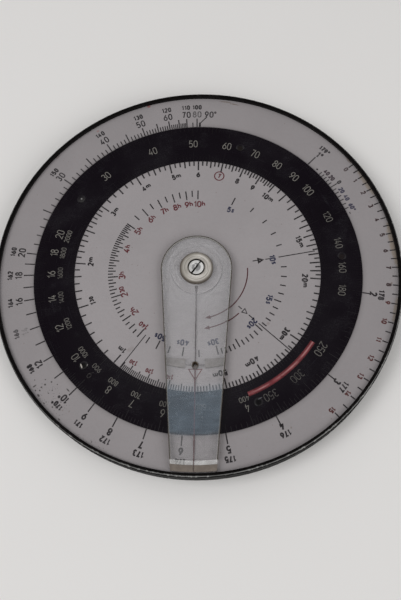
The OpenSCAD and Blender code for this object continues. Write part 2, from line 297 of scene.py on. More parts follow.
class Finish:
    """A material with one Principled shader, whose colour is built up in layers."""

    def __init__(self, name, colour, **constants):
        """constants gives inputs of the shader that are the same everywhere."""
        self.material = bpy.data.materials.new(name)
        self.material.use_nodes = True
        self.tree = self.material.node_tree
        self.shader = self.tree.nodes["Principled BSDF"]
        self.colour = colour
        for key, value in constants.items():
            self.shader.inputs[key.replace("_", " ")].default_value = value

    def mask(self, group, **values):
        """The mask of a node group that is placed with its own values."""
        return mask(self.tree, group, **values)

    def cloud(self, grain, low, high):
        """A mask of soft patches."""
        return self.mask(blotches, Grain=grain, Low=low, High=high)

    def hairs(self, scale, width, patches=0.12):
        """A mask of fine scratches."""
        return self.mask(hair_scratches, Scale=scale, Width=width, Patches=patches)

    def rings(self, across, along):
        """Height of turning marks."""
        return lay(self.tree, turning_marks, {"Across": across, "Along": along})["Height"]

    def mark(self, centre, reach, turn=0.0, ragged=0.6, grain=0.8):
        """A mask of one mark, turned by degrees."""
        wires = {
            "Centre": centre, "Reach": reach, "Turn": -math.radians(turn), "Ragged": ragged, "Grain": grain,
        }
        return self.mask(local_mark, **wires)

    def spot(self):
        """Radius, height, direction and place of a point, seen from the pivot."""
        return lay(self.tree, turned_place)

    def place(self):
        """Object coordinates in millimetres."""
        return object_place(self.tree)

    def tint(self, where, strength, second):
        """Lays a second colour over the first, as far as the mask times the strength says."""
        self.colour = blend(self.tree, where * strength, self.colour, second)

    def done(self, relief=None, depth=0.0, **inputs):
        """Links the colour, the relief, whose depth is in millimetres, and other inputs. Returns the
        material."""
        if relief is not None:
            wires = {"Height": relief, "Distance": depth * MM, "Strength": 1.0}
            inputs["Normal"] = lay(self.tree, "Bump", wires)[0]
        for key, wire in {"Base Color": self.colour, **inputs}.items():
            self.tree.links.new(wire.socket, self.shader.inputs[key])
        return self.material


def tone(red, green, blue):
    """An opaque colour, from its linear parts."""
    return (red, green, blue, 1.0)


def darker(colour, share):
    """The colour at a share of its strength."""
    return tone(*(share * part for part in colour[:3]))


def flat_spot(radius, angle):
    """Point at a radius and an angle in degrees."""
    turn = math.radians(angle)
    return np.array([radius * math.cos(turn), radius * math.sin(turn)])


def spot_on(radius, angle, height):
    """Point at a radius and an angle in degrees, at a height."""
    return (*flat_spot(radius, angle), height)


WHITE = tone(0.342, 0.319, 0.327)
OUTER_WHITE = tone(0.300, 0.279, 0.286)
BROWN_DIRT = tone(0.13, 0.085, 0.055)
YELLOW_STAIN = tone(0.25, 0.19, 0.12)
RED_SPOT = tone(0.25, 0.05, 0.045)
DARK_DIRT = tone(0.035, 0.03, 0.028)
# Colour of the painted shade beside raised edges such as the hoop and the speed ring
PAINTED_EDGE_SHADE = tone(0.06, 0.055, 0.055)
RING_GROUND = tone(0.0045, 0.0022, 0.0048)
MARK_DEPTH = 2.0


def white_enamel(name, base, marks=(), spatters=(), shades=()):
    """Satin white enamel, a little uneven and scratched. marks gives stains: radius, angle, reach across
    and along, turn, colour, strength, ragged. spatters gives patches of dark specks: radius, angle, reach
    across and along. shades gives circles that it darkens towards as painted shade beside raised edges:
    the radii where that starts and ends, ragged, strength."""
    enamel = Finish(name, base, IOR=1.5)
    enamel.tint(enamel.cloud(0.035, 0.35, 0.7), 1.0, darker(base, 0.94))
    fine = enamel.cloud(0.9, 0.4, 0.7)
    enamel.tint(fine, 0.12, darker(base, 0.78))
    scratches = enamel.hairs(0.22, 0.01)
    enamel.tint(scratches, 0.22, darker(base, 0.6))
    enamel.tint(enamel.mask(specks, Scale=0.45, Size=0.12, Share=0.2), 0.45, BROWN_DIRT)
    for radius, angle, across, along, turn, stain, strength, ragged in marks:
        mark = enamel.mark(spot_on(radius, angle, face_z), (across, along, MARK_DEPTH), turn, ragged)
        enamel.tint(mark, strength, stain)
    for radius, angle, across, along in spatters:
        patch = enamel.mark(spot_on(radius, angle, face_z), (across, along, MARK_DEPTH), angle, 0.5, 0.3)
        for scale, size, share in ((0.95, 0.3, 0.35), (1.9, 0.34, 0.4)):
            spots = enamel.mask(specks, Scale=scale, Size=size, Share=share)
            enamel.tint(spots * patch, 0.75, DARK_DIRT)
    # Painted shade: the enamel darkens towards raised edges, where their shade falls
    for start, end, ragged, strength in shades:
        shade = enamel.mask(edge_wear, Start=min(start, end), End=max(start, end), Ragged=ragged, Grain=0.5)
        enamel.tint(shade if start < end else 1.0 - shade, strength, PAINTED_EDGE_SHADE)
    rough = fine * 0.08 + scratches * 0.15 + 0.3
    return enamel.done(enamel.cloud(0.7, 0.2, 0.8) - scratches * 0.6, 0.004, Roughness=rough)


def outer_ring_white():
    """The outer ring's enamel, with stains and scuffs gathered beside the hoop, and painted shade at its
    edges.
    """
    marks = [
        (72.9, 8, 1.5, 12.0, 8, YELLOW_STAIN, 0.55, 0.5),
        (73.0, 29, 1.3, 8.0, 29, YELLOW_STAIN, 0.45, 0.6),
        (73.0, -12, 0.9, 6.0, -12, YELLOW_STAIN, 0.45, 0.6),
        (73.1, 38, 0.4, 2.2, 38, BROWN_DIRT, 0.5, 0.6),
        (72.55, 82.0, 0.32, 3.0, 82.0, BROWN_DIRT, 0.55, 0.7),
        (72.0, 78.6, 0.36, 2.2, 77.0, BROWN_DIRT, 0.6, 0.8),
        (73.0, 106, 0.6, 0.9, 106, RED_SPOT, 0.7, 0.4),
        (71.5, 124, 0.5, 0.7, 124, RED_SPOT, 0.35, 0.4),
        (72.9, 139, 0.35, 1.2, 139, BROWN_DIRT, 0.4, 0.8),
        (71.0, -4, 0.4, 0.5, 0, BROWN_DIRT, 0.6, 0.4),
        (66.5, -60, 0.3, 0.5, 0, BROWN_DIRT, 0.5, 0.5),
    ]
    marks += [
        (radius, angle, across, along, angle, DARK_DIRT, 0.85, 0.35)
        for radius, angle, across, along in (
            (72.4, 220.2, 0.45, 0.75), (72.2, 218.5, 0.32, 0.45), (71.0, 219.3, 0.36, 0.42),
            (69.9, 218.8, 0.4, 0.4), (68.3, 218.8, 0.42, 0.42), (66.0, 219.4, 0.38, 0.42),
            (71.6, 217.3, 1.0, 0.34), (71.3, 225.5, 0.42, 0.4), (63.4, 224.9, 0.3, 0.95),
            (72.6, 223.0, 0.3, 0.5), (64.9, 221.2, 0.26, 0.3), (67.2, 217.6, 0.28, 0.26),
            (69.2, 221.6, 0.22, 0.3), (72.7, 229.4, 0.3, 0.6), (70.4, 215.8, 0.24, 0.3),
        )
    ]
    spatters = ((69.5, 224, 5.5, 8.5), (72.5, 240, 1.4, 9.0))
    # Painted shade towards the hoop and towards the speed ring
    shades = (
        (72.9, SEAT_R, 0.7, 0.06), (62.6, RING_OUT_R - 0.1, 0.2, 0.2), (61.1, RING_OUT_R - 0.1, 0.15, 0.5),
    )
    return white_enamel("outer ring white enamel", OUTER_WHITE, marks, spatters, shades)


def inner_disc_white():
    """The inner disc's enamel, with two faint stains and painted shade beside the speed ring."""
    marks = ((33, -38, 0.8, 0.8, 0, BROWN_DIRT, 0.25, 0.8), (38, -128, 2.0, 1.0, 30, BROWN_DIRT, 0.16, 0.9))
    # Painted shade towards the speed ring's edge
    shades = ((42.5, 45.8, 0.2, 0.12), (45.0, RING_IN_R, 0.2, 0.3))
    return white_enamel("inner disc white enamel", WHITE, marks, (), shades)


def ring_black():
    """Gloss black enamel of the speed ring: turned arcs, a dusty bloom, and finger dimples tinted each in
    its way, with painted highlights on their rims and slopes."""
    enamel = Finish("speed ring black enamel", tone(0.0028, 0.0008, 0.0034), IOR=1.5, Specular_IOR_Level=0.4)
    arcs = enamel.mask(arc_scratches, Across=5.0, Along=5.0, Level=0.6)
    hairs = enamel.hairs(0.25, 0.008)
    bloom = enamel.cloud(0.06, 0.4, 0.75)
    enamel.tint(bloom, 0.6, tone(0.0062, 0.0038, 0.0072))
    enamel.tint(arcs, 0.5, tone(0.026, 0.024, 0.033))
    enamel.tint(hairs, 0.35, tone(0.05, 0.05, 0.055))
    pits, dull = 0.0, 0.0
    for angle, stain, strength, sheen in (
        (-65.5, tone(0.003, 0.002, 0.003), 1.0, 0.62), (6, tone(0.015, 0.010, 0.010), 0.85, 0.8),
        (72.5, tone(0.014, 0.010, 0.008), 0.8, 0.85), (146.5, tone(0.030, 0.028, 0.028), 0.8, 0.34),
        (222, tone(0.006, 0.005, 0.005), 0.95, 0.36),
    ):
        pit = enamel.mark(spot_on(DIMPLE_R, angle, face_z - 0.8), (1.7, 1.7, 0.79), ragged=0.05)
        enamel.tint(pit, strength, stain)
        pits = pit.larger(pits)
        dull = dull + pit * sheen
    # Painted highlights in the dimples: pale crescents and spots where their slopes would mirror light
    for angle, offset, reach, turn, strength, worn in (
        (222, (-0.95, -0.1, -0.3), (0.34, 1.1, 1.2), 20, 0.95, tone(0.50, 0.47, 0.43)),
        (222, (1.2, 0.25, -0.3), (0.24, 0.5, 1.2), -20, 0.9, tone(0.26, 0.25, 0.24)),
        (-65.5, (0.5, 1.35, -0.3), (1.1, 0.26, 1.2), 25, 0.6, tone(0.12, 0.12, 0.13)),
        (-65.5, (-0.9, -1.0, -0.3), (0.9, 0.22, 1.2), -42, 0.5, tone(0.07, 0.07, 0.075)),
        (146.5, (-0.1, 0.5, -0.3), (0.4, 0.38, 1.2), 0, 0.8, tone(0.30, 0.30, 0.30)),
    ):
        centre = tuple(np.add(spot_on(DIMPLE_R, angle, face_z), offset))
        enamel.tint(enamel.mark(centre, reach, turn, 0.12), strength, worn)
    outside = 1.0 - pits
    rough = (arcs * 0.22 + bloom * 0.1 + 0.16) * outside + dull
    return enamel.done((enamel.rings(2.5, 2.0) - hairs) * outside, 0.003, Roughness=rough)


def hoop_black():
    """Black lacquer, worn to a thin pale line along the outer edges and chipped most on the side near the
    user."""
    lacquer = Finish("hoop black lacquer", tone(0.0042, 0.0036, 0.0036), IOR=1.5, Specular_IOR_Level=0.1)
    spot = lacquer.spot()
    near = spot["Direction"].vector("DOT_PRODUCT", (0.6, -0.8, 0.0)).rise(-0.35, 0.8)
    at_edge = abs(spot["Height"] - rim_z / 2).rise(rim_z / 2 - 0.6, rim_z / 2 - 0.35)
    wall = spot["Radius"].rise(WALL_R, WALL_R + 0.09)
    inward = spot["Direction"].vector("DOT_PRODUCT", (0.2, -0.98, 0.0)).rise(0.2, 0.95) * 0.31
    uneven = (spot["Place"].noise(0.6, 4.0, 0.65) - 0.5) * 0.2
    off_line = abs(spot["Radius"] + inward + uneven - WORN_LINE_R)
    line = off_line.fall(0.08, 0.20) * at_edge * (1.0 - wall)
    worn = line * (0.5 + lacquer.cloud(0.16, 0.35, 0.65) * 0.5)
    broken = lacquer.mask(blotches, Grain=0.5, Low=0.52, High=0.62, Roughness=0.7)
    chips = off_line.fall(0.16, 0.34) * at_edge * (broken * near)
    bright = chips.larger(worn * (near * 0.3))
    dusty = lacquer.cloud(0.3, 0.45, 0.7)
    lacquer.tint(dusty, 0.5, tone(0.009, 0.0082, 0.008))
    lacquer.tint(worn, 1.0, tone(0.11, 0.11, 0.107))
    lacquer.tint(bright, 1.0, tone(0.42, 0.42, 0.41))
    rough = 0.2 + dusty * 0.16 + wall * 0.4 + worn * 0.3
    return lacquer.done(dusty * 0.2 - bright, 0.03, Metallic=chips * 0.5, Roughness=rough)


def band_red():
    """Glossy dark red strip of the range band, with a painted highlight along its middle and painted shade at
    its edges.
    """
    strip = Finish("range band red", tone(0.125, 0.015, 0.021), IOR=1.5, Coat_Weight=0.3)
    strip.tint(strip.cloud(0.35, 0.4, 0.65), 0.8, tone(0.20, 0.036, 0.043))
    arcs = strip.mask(arc_scratches, Across=6.0, Along=8.0, Level=0.5, Patches=0.3)
    strip.tint(arcs, 0.4, tone(0.40, 0.15, 0.145))
    off_middle = abs(strip.spot()["Radius"] - BAND_R)
    # Painted highlight along the strip's middle
    strip.tint(off_middle.fall(0.1, 0.42) * strip.cloud(0.18, 0.3, 0.62), 0.75, tone(0.42, 0.20, 0.20))
    # Painted shade at the strip's edges
    strip.tint(off_middle.rise(0.55, 0.82), 0.85, tone(0.045, 0.008, 0.011))
    return strip.done(strip.rings(3.0, 4.0), 0.01, Roughness=0.22 + arcs * 0.2)


def let_lamps_through(finish):
    """Lets lamps and scattered light pass straight through a clear plate, so that what lies under it
    isn't dark."""
    tree = finish.tree
    path = lay(tree, "LightPath")
    through = lay(tree, "BsdfTransparent", {"Color": tone(0.985, 0.985, 0.985)})[0]
    own = Wire(tree, finish.shader.outputs[0])
    passing = path["Is Shadow Ray"].larger(path["Is Diffuse Ray"])
    mix = lay(tree, "MixShader", {0: passing, 1: own, 2: through})
    tree.links.new(mix[0].socket, tree.nodes["Material Output"].inputs["Surface"])


def acrylic(name, colour_of_edges, polished_to):
    """Clear acrylic: aged and dirty on its side walls, with fine scratches and rings polished in near the
    pivot."""
    plate = Finish(name, tone(0.985, 0.99, 0.995), Transmission_Weight=1.0, IOR=1.49)
    wall = abs(lay(plate.tree, "TexCoord")["Normal"].part("Z")).fall(0.25, 0.6)
    plate.tint(wall, 0.85, colour_of_edges)
    rings = plate.rings(3.2, 0.8)
    near = plate.spot()["Radius"].fall(polished_to - 0.6, polished_to)
    polished = near * rings.rise(0.5, 0.62)
    plate.tint(polished, 0.10, tone(0.55, 0.54, 0.52))
    hole = plate.mark((0, -PENCIL_R, pointer_z + 1.0), (2.0, 2.0, 3.0), ragged=0.2, grain=1.5)
    plate.tint(hole * wall, 0.9, tone(0.09, 0.07, 0.05))
    hairs = plate.hairs(0.3, 0.01, 0.15)
    rough = hairs * 0.12 + polished * 0.18 + wall * 0.3 + 0.02
    let_lamps_through(plate)
    return plate.done(near * rings + hairs * -0.5, 0.004, Roughness=rough)


def turned_metal(name, colour, dull, rough, across, relief):
    """Lathe-turned metal: ring marks in its relief and sheen, duller in patches."""
    metal = Finish(name, colour, Metallic=1.0)
    rings = metal.rings(across, 0.7)
    stain = metal.cloud(0.5, 0.42, 0.68)
    metal.tint(stain, 0.55, dull)
    metal.tint(rings.rise(0.45, 0.7), 0.3, dull)
    return metal.done(rings, relief, Roughness=rough + stain * 0.14)


def plain_metal(name, colour, rough, grain=0.6):
    """Rolled or drawn metal: a faint grain one way and dull patches."""
    metal = Finish(name, colour, Metallic=1.0)
    noise = metal.place().stretched((grain, grain * 14, grain)).noise(1.0, 3.0)
    dull = metal.cloud(0.25, 0.4, 0.7)
    for patches in (noise, dull):
        metal.tint(patches, 0.4, darker(colour, 0.75))
    return metal.done(noise, 0.004, Roughness=rough + dull * 0.15)


def collar_nickel():
    """The pointer's collar: warm worn nickel with turning marks and dull patches, with painted shade on one
    side, down its slope, at its foot and in the gap round the screw."""
    nickel = Finish("collar nickel", tone(0.95, 0.91, 0.85), Metallic=0.45)
    spot = nickel.spot()
    rings = nickel.rings(2.6, 0.45)
    stain = nickel.cloud(0.5, 0.42, 0.68)
    nickel.tint(stain, 0.35, tone(0.66, 0.60, 0.54))
    # Painted shade down the collar's slope
    slope = spot["Radius"].rise(SCREW_R + 1.5, SCREW_R + 2.2)
    nickel.tint(slope, 0.3, tone(0.46, 0.42, 0.37))
    nickel.tint(rings.rise(0.46, 0.56), 0.6, tone(0.34, 0.31, 0.27))
    # Painted shade on one side of the collar
    shaded_side = spot["Direction"].vector("DOT_PRODUCT", (-0.97, 0.24, 0.0)).rise(-0.1, 0.9)
    nickel.tint(shaded_side, 0.5, tone(0.33, 0.305, 0.26))
    # Painted shade at the collar's foot
    nickel.tint(spot["Radius"].rise(COLLAR_R - 1.15, COLLAR_R - 0.2), 0.85, tone(0.085, 0.065, 0.048))
    # Painted shade in the gap round the screw
    nickel.tint(spot["Radius"].fall(SCREW_R + 0.35, SCREW_R + 0.5), 0.98, tone(0.008, 0.007, 0.006))
    return nickel.done(rings, 0.035, Roughness=0.28 + stain * 0.12 + slope * 0.24)


def screw_nickel():
    """The slotted pivot screw: bright, grey in the middle, with painted shade in the slot and in the gap
    at its edge."""
    nickel = Finish("pivot screw nickel", tone(0.96, 0.95, 0.93), Metallic=0.45)
    spot = nickel.spot()
    rings = nickel.rings(2.6, 0.5)
    nickel.tint(rings.rise(0.46, 0.58), 0.6, tone(0.46, 0.45, 0.44))
    middle = spot["Radius"].fall(1.45, 1.85)
    nickel.tint(middle * nickel.cloud(1.1, 0.34, 0.48), 0.85, tone(0.23, 0.23, 0.235))
    # Painted shade at the screw's edge, in the gap to the collar
    nickel.tint(spot["Radius"].rise(SCREW_R - 0.22, SCREW_R - 0.08), 0.95, tone(0.03, 0.028, 0.025))
    # Painted shade in the slot, patchy
    deep = spot["Height"].fall(screw_z - 0.42, screw_z - 0.22)
    slot_shade = deep * (0.2 + nickel.cloud(0.9, 0.42, 0.52) * 0.8)
    nickel.tint(slot_shade, 0.97, tone(0.014, 0.012, 0.01))
    return nickel.done(rings, 0.015, Roughness=0.22 + deep * 0.4)


def fibre(name, colour, second, grain, relief, edge=None):
    """Matt fibrous sheet such as felt, card or a pressed washer: crossed noises as its fibres. Outside an
    edge radius it gets painted shade, darker over its side wall."""
    sheet = Finish(name, colour, Roughness=0.85, IOR=1.45)
    place = sheet.place()
    total = 0.0
    for turn in (0.3, 1.4, 2.5):
        total = total + place.stretched((grain, grain * 5, grain), turn).noise(1.0, 2.0)
    strands = total.rise(1.2, 1.8)
    sheet.tint(strands, 0.5, second)
    sheet.tint(sheet.cloud(0.08, 0.4, 0.7), 0.35, second)
    if edge:
        # Painted shade over the side wall outside the edge radius
        sheet.tint(sheet.spot()["Radius"].rise(edge - 0.25, edge - 0.05), 1.0, darker(WHITE, 0.62))
    return sheet.done(strands, relief)


def ink(name, colour, ground, extra=0.0, rough=0.45, grain=3.0, shine=0.5):
    """Printed ink that wears through to the ground it lies on."""
    print_ink = Finish(name, colour, IOR=1.5, Specular_IOR_Level=shine)
    cloud = print_ink.cloud(0.4, 0.4, 0.7)
    paler = (0.85 * part + 0.15 * under for part, under in zip(colour[:3], ground[:3]))
    print_ink.tint(cloud, 0.7, tone(*paler))
    print_ink.tint(print_ink.mask(print_wear, Extra=extra, Grain=grain), 1.0, ground)
    return print_ink.done(Roughness=rough + cloud * 0.12)


black_ink = ink("black scale ink", tone(0.020, 0.017, 0.019), WHITE)
red_ink = ink("red scale ink", tone(0.110, 0.019, 0.025), WHITE, extra=0.03)
arc_ink = ink("dark red arc ink", tone(0.075, 0.016, 0.021), WHITE)
brown_ink = ink("brown red scale ink", tone(0.085, 0.022, 0.02), WHITE, extra=0.02)
dark_brown_ink = ink("dark brown scale ink", tone(0.037, 0.018, 0.019), WHITE)
plum_ink = ink("plum scale ink", tone(0.042, 0.027, 0.036), WHITE)
blue_ink = ink("blue scale ink", tone(0.017, 0.021, 0.055), WHITE)
faded_blue_ink = ink("faded blue scale ink", tone(0.040, 0.038, 0.068), WHITE, extra=0.05)
cream_ink = ink("cream ring ink", tone(0.172, 0.163, 0.147), RING_GROUND, grain=2.5)
grey_ink = ink("worn ring tick ink", tone(0.020, 0.018, 0.020), RING_GROUND, extra=0.08, grain=1.6, shine=0.3)


# Surfaces

def make_piece(name, corners, faces, body, finish, worn=None):
    """Puts arrays of corners, in millimetres, and of faces into a mesh, gives it its finish and lets it
    ride on its body."""
    mesh = bpy.data.meshes.new(name)
    mesh.from_pydata((corners * MM).tolist(), [], faces.tolist())
    mesh.materials.append(finish)
    if worn is not None:
        mesh.attributes.new("worn", "FLOAT", "POINT").data.foreach_set("value", worn.astype(np.float32))
    piece = bpy.data.objects.new(name, mesh)
    bpy.context.collection.objects.link(piece)
    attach(piece, body)


def ribbons(lines, closed, widths, lows, highs):
    """Thin bands along several lines that have as many points each. At every point the band goes half its
    width to both sides, along the mitre of its two neighbouring stretches, at the lower and at the upper
    height."""
    count, points, _ = lines.shape
    step = np.roll(lines, -1, axis=1) - lines
    if not closed:
        step[:, -1] = step[:, -2]
    ahead = step / np.linalg.norm(step, axis=2, keepdims=True)
    behind = np.roll(ahead, 1, axis=1)
    if not closed:
        behind[:, 0] = ahead[:, 0]
    left_ahead = np.stack([-ahead[..., 1], ahead[..., 0]], axis=2)
    left_behind = np.stack([-behind[..., 1], behind[..., 0]], axis=2)
    share = 1 + (left_ahead * left_behind).sum(axis=2, keepdims=True)
    side = (left_ahead + left_behind) / np.maximum(share, 0.5) * widths[:, None, None] / 2
    corners = np.zeros((count, points, 4, 3))
    corners[:, :, 0, :2] = corners[:, :, 3, :2] = lines + side
    corners[:, :, 1, :2] = corners[:, :, 2, :2] = lines - side
    corners[:, :, :2, 2] = lows[:, None, None]
    corners[:, :, 2:, 2] = highs[:, None, None]
    first = np.arange(points if closed else points - 1)
    side_here, side_after = np.arange(4), np.roll(np.arange(4), -1)
    here = first[:, None] * 4
    there = (first[:, None] + 1) % points * 4
    quads = [here + side_here, there + side_here, there + side_after, here + side_after]
    quads = np.stack(quads, axis=2).reshape(-1, 4)
    if not closed:
        end = (points - 1) * 4
        quads = np.vstack([quads, [[0, 1, 2, 3], [end + 3, end + 2, end + 1, end]]])
    faces = (np.arange(count)[:, None, None] * points * 4 + quads).reshape(-1, 4)
    return corners.reshape(-1, 3), faces


class Printing:
    """Collects printed lines of one ink on one face and turns them into one thin piece."""

    def __init__(self, low, thickness=PRINT_T):
        self.low = low
        self.thickness = thickness
        self.lines = []

    def line(self, points, width, closed=False, worn=0.0, layer=0):
        """One line through the points."""
        self.lines.append((np.asarray(points, float), closed, width, worn, layer))

    def ticks(self, angles, inner, outer, width, worn=0.0):
        """Radial lines at the angles, in degrees, between two radii. Radii and wear may be one value or
        one per line."""
        angles = np.radians(np.atleast_1d(np.asarray(angles, float)))
        out = np.stack([np.cos(angles), np.sin(angles)], axis=1)
        pairs = np.stack([out * np.reshape(inner, (-1, 1)), out * np.reshape(outer, (-1, 1))], axis=1)
        wear = np.broadcast_to(worn, angles.shape)
        for points, fade in zip(pairs, wear):
            self.line(points, width, worn=float(fade))

    def arc(self, radius, start, stop, width, worn=0.0):
        """A line along a circle, from one angle to another, in degrees."""
        points = max(3, int(abs(stop - start) / 2.5) + 1)
        turn = np.radians(np.linspace(start, stop, points))
        self.line(radius * np.stack([np.cos(turn), np.sin(turn)], axis=1), width, worn=worn)

    def label(self, text, angle, radius, style, worn=0.0, rear=False):
        """Straight lettering that stands upright seen from the pivot, with its middle at an angle and a
        radius."""
        turn = math.radians(angle)
        out = np.array([math.cos(turn), math.sin(turn)])
        along = np.array([-out[1], out[0]]) if rear else np.array([out[1], -out[0]])
        for number, (points, closed, share) in enumerate(lettering(text, style)):
            place = out * (radius + points[:, 1:2]) + along * points[:, :1]
            self.line(place, style[1] * share, closed, worn, number % 4)

    def mesh(self):
        """Corners, faces and wear of all the lines, worked out together for lines with as many points."""
        corners, faces, wear, total = [], [], [], 0
        kinds = sorted({(len(points), closed) for points, closed, *_ in self.lines})
        for size, closed in kinds:
            rows = [row for row in self.lines if len(row[0]) == size and row[1] == closed]
            lines = np.stack([row[0] for row in rows])
            widths = np.array([row[2] for row in rows], float)
            lows = np.full(len(rows), self.low)
            highs = lows + self.thickness + STROKE_STEP * np.array([row[4] for row in rows])
            some_corners, some_faces = ribbons(lines, closed, widths, lows, highs)
            corners.append(some_corners)
            faces.append(some_faces + total)
            wear.append(np.repeat([row[3] for row in rows], size * 4))
            total += len(some_corners)
        return np.vstack(corners), np.vstack(faces), np.concatenate(wear)

    def put(self, name, body, finish):
        """Makes the piece."""
        corners, faces, wear = self.mesh()
        make_piece(name, corners, faces, body, finish, wear)


# Lettering: each character is a width and a set of pen strokes, in a box one unit high

def bow(x, y, reach_x, reach_y, start, stop, points):
    """Part of an ellipse about a centre, between two angles in degrees."""
    turn = np.radians(np.linspace(start, stop, points))
    return np.stack([x + reach_x * np.cos(turn), y + reach_y * np.sin(turn)], axis=1)


def loop(x, y, reach_x, reach_y, points=12):
    """A closed ellipse about a centre."""
    return bow(x, y, reach_x, reach_y, 0, 360 - 360 / points, points)


def through(*parts, closed=False):
    """One stroke through points and curves, and whether it closes."""
    return np.vstack([np.atleast_2d(np.asarray(part, float)) for part in parts]), closed


def draw_characters():
    """Numerals and unit letters in plain engineers' lettering, built from straight lines and parts of
    ellipses."""
    six_stem = np.array([(0.45, 1.0), (0.22, 0.72), (0.06, 0.49), (0.0, 0.33)])
    upside_down = np.array([0.56, 1.0])
    bar = through((0.0, 0.5), (0.5, 0.5))
    return {
        "0": (0.56, [through(
            bow(0.28, 0.72, 0.28, 0.28, 0, 180, 6), bow(0.28, 0.28, 0.28, 0.28, 180, 360, 6), closed=True,
        )]),
        "1": (0.26, [through((0.0, 0.74), (0.24, 1.0), (0.24, 0.0))]),
        "2": (0.56, [through(bow(0.28, 0.72, 0.28, 0.28, 168, -30, 7), (0.0, 0.0), (0.56, 0.0))]),
        "3": (0.56, [
            through(bow(0.27, 0.755, 0.25, 0.245, 150, -85, 7)),
            through(bow(0.28, 0.265, 0.28, 0.265, 88, -155, 7)),
        ]),
        "4": (0.56, [through((0.34, 1.0), (0.0, 0.26), (0.56, 0.26)), through((0.41, 0.54), (0.41, 0.0))]),
        "5": (0.56, [through(
            (0.51, 1.0), (0.06, 1.0), (0.03, 0.55), bow(0.27, 0.32, 0.29, 0.32, 118, -150, 8),
        )]),
        "6": (0.56, [through(six_stem), through(loop(0.28, 0.3, 0.28, 0.3), closed=True)]),
        "7": (0.52, [through((0.0, 1.0), (0.52, 1.0), (0.34, 0.55), (0.2, 0.0))]),
        "8": (0.56, [
            through(loop(0.28, 0.765, 0.23, 0.235, 10), closed=True),
            through(loop(0.28, 0.265, 0.28, 0.265), closed=True),
        ]),
        "9": (0.56, [through(upside_down - six_stem), through(loop(0.28, 0.7, 0.28, 0.3), closed=True)]),
        "°": (0.4, [through(loop(0.2, 0.86, 0.2, 0.2, 8), closed=True)]),
        "h": (0.58, [
            through((0.0, 1.05), (0.0, -0.2)), through(bow(0.29, 0.27, 0.29, 0.27, 180, 0, 6), (0.58, -0.2)),
        ]),
        "m": (1.3, [
            through((0.0, 0.76), (0.0, -0.1)),
            through(bow(0.325, 0.46, 0.325, 0.28, 180, 0, 5), (0.65, -0.1)),
            through(bow(0.975, 0.46, 0.325, 0.28, 180, 0, 5), (1.3, -0.1)),
        ]),
        "s": (0.5, [through(
            (0.5, 0.6), (0.37, 0.76), (0.13, 0.76), (0.0, 0.6), (0.07, 0.42),
            (0.43, 0.24), (0.5, 0.06), (0.37, -0.1), (0.12, -0.1), (0.0, 0.04),
        )]),
        "+": (0.5, [bar, through((0.25, 0.25), (0.25, 0.75))]),
        "-": (0.5, [bar]),
    }


CHARACTERS = draw_characters()

# Small raised characters: their size, stroke and lift, and the gaps before letters and before digits
SMALL = 0.68
SMALL_STROKE = 0.84
RAISE = 0.32
UNIT_GAP = 1.2
DIGIT_GAP = 1.1

# Styles of lettering: height, stroke, share of the usual width, and the gap between neighbouring centre lines
SINE = (2.85, 0.49, 0.86, 0.76)
SUPPLEMENT = (2.12, 0.50, 0.84, 0.66)
SUPPLEMENT_LOW = (2.35, 0.55, 0.84, 0.70)
ALTITUDE = (2.0, 0.49, 0.95, 0.62)
TEMPERATURE = (1.9, 0.50, 0.85, 0.54)
SIGN = (1.9, 0.34, 1.0, 0.6)
MINUTES = (2.35, 0.59, 0.92, 0.80)
HALF_HOUR = (2.35, 0.64, 0.84, 0.84)
SEVEN = (2.0, 0.46, 1.0, 0.8)
HOUR_MARK = (1.4, 0.34, 1.0, 0.6)
OVER_HOUR = (2.2, 0.47, 0.9, 0.7)
HOURS = (2.65, 0.51, 1.0, 0.64)
SECONDS = (2.35, 0.55, 0.96, 0.62)
SPEED = (3.05, 0.285, 0.82, 0.54)
SPEED_HIGH = (2.78, 0.27, 0.84, 0.52)
SPEED_AGAIN = (2.0, 0.26, 0.88, 0.43)
COURSE = (2.6, 0.34, 1.0, 0.65)
COURSE_BETWEEN = (1.9, 0.26, 1.0, 0.5)


def heavier(style, share):
    """The style with its stroke made wider by a share."""
    height, stroke, narrow, gap = style
    return (height, stroke * share, narrow, gap)


def lettering(text, style):
    """Centre lines of a text, in millimetres, about the middle of its large characters, each with its
    share of the stroke. Characters after ^ are small and raised, and stand off by a share of the
    stroke."""
    height, stroke, narrow, gap = style
    large, _, small = text.partition("^")
    tall = height - stroke
    x, lines, large_width = 0.0, [], 0.0
    for part, scale, lift in ((large, 1.0, 0.0), (small, SMALL, RAISE)):
        if scale < 1 and part:
            x += stroke * (DIGIT_GAP if part.isdigit() else UNIT_GAP) - gap
        for character in part:
            width, strokes = CHARACTERS[character]
            wide = tall * scale * narrow
            for points, closed in strokes:
                share = SMALL_STROKE if scale < 1 else 1.0
                lines.append((points * (wide, tall * scale) + (x, lift * tall), closed, share))
            x += width * wide + gap * scale
        if scale == 1:
            large_width = x - gap
    return [(points - (large_width / 2, tall / 2), closed, share) for points, closed, share in lines]


# Scale laws: angle in degrees, anticlockwise from +X, of each reading

def half_turn_scale(reading, angle):
    """A scale that runs clockwise by half a turn for each tenfold, from one reading that stands at an
    angle."""
    return lambda readings: angle - 180 * np.log10(np.asarray(readings, float) / reading)


minutes_angle = half_turn_scale(6, 90)
hours_angle = half_turn_scale(10, 90)
seconds_angle = half_turn_scale(10, 10.2)
speed_angle = half_turn_scale(50, 92.3)


def sine_angle(degrees):
    """Half a turn for each tenfold of the sine, with 90 degrees at the top."""
    return half_turn_scale(1, 89.54)(np.sin(np.radians(degrees)))


def altitude_angle(kilometres):
    """A quarter of a turn for each tenfold of the pressure of air that cools evenly with height, from 0
    at the upper right."""
    warmth = 1 - 0.02015 * np.asarray(kilometres, float)
    return 36.18 + 90 * 5.934 * np.log10(warmth)


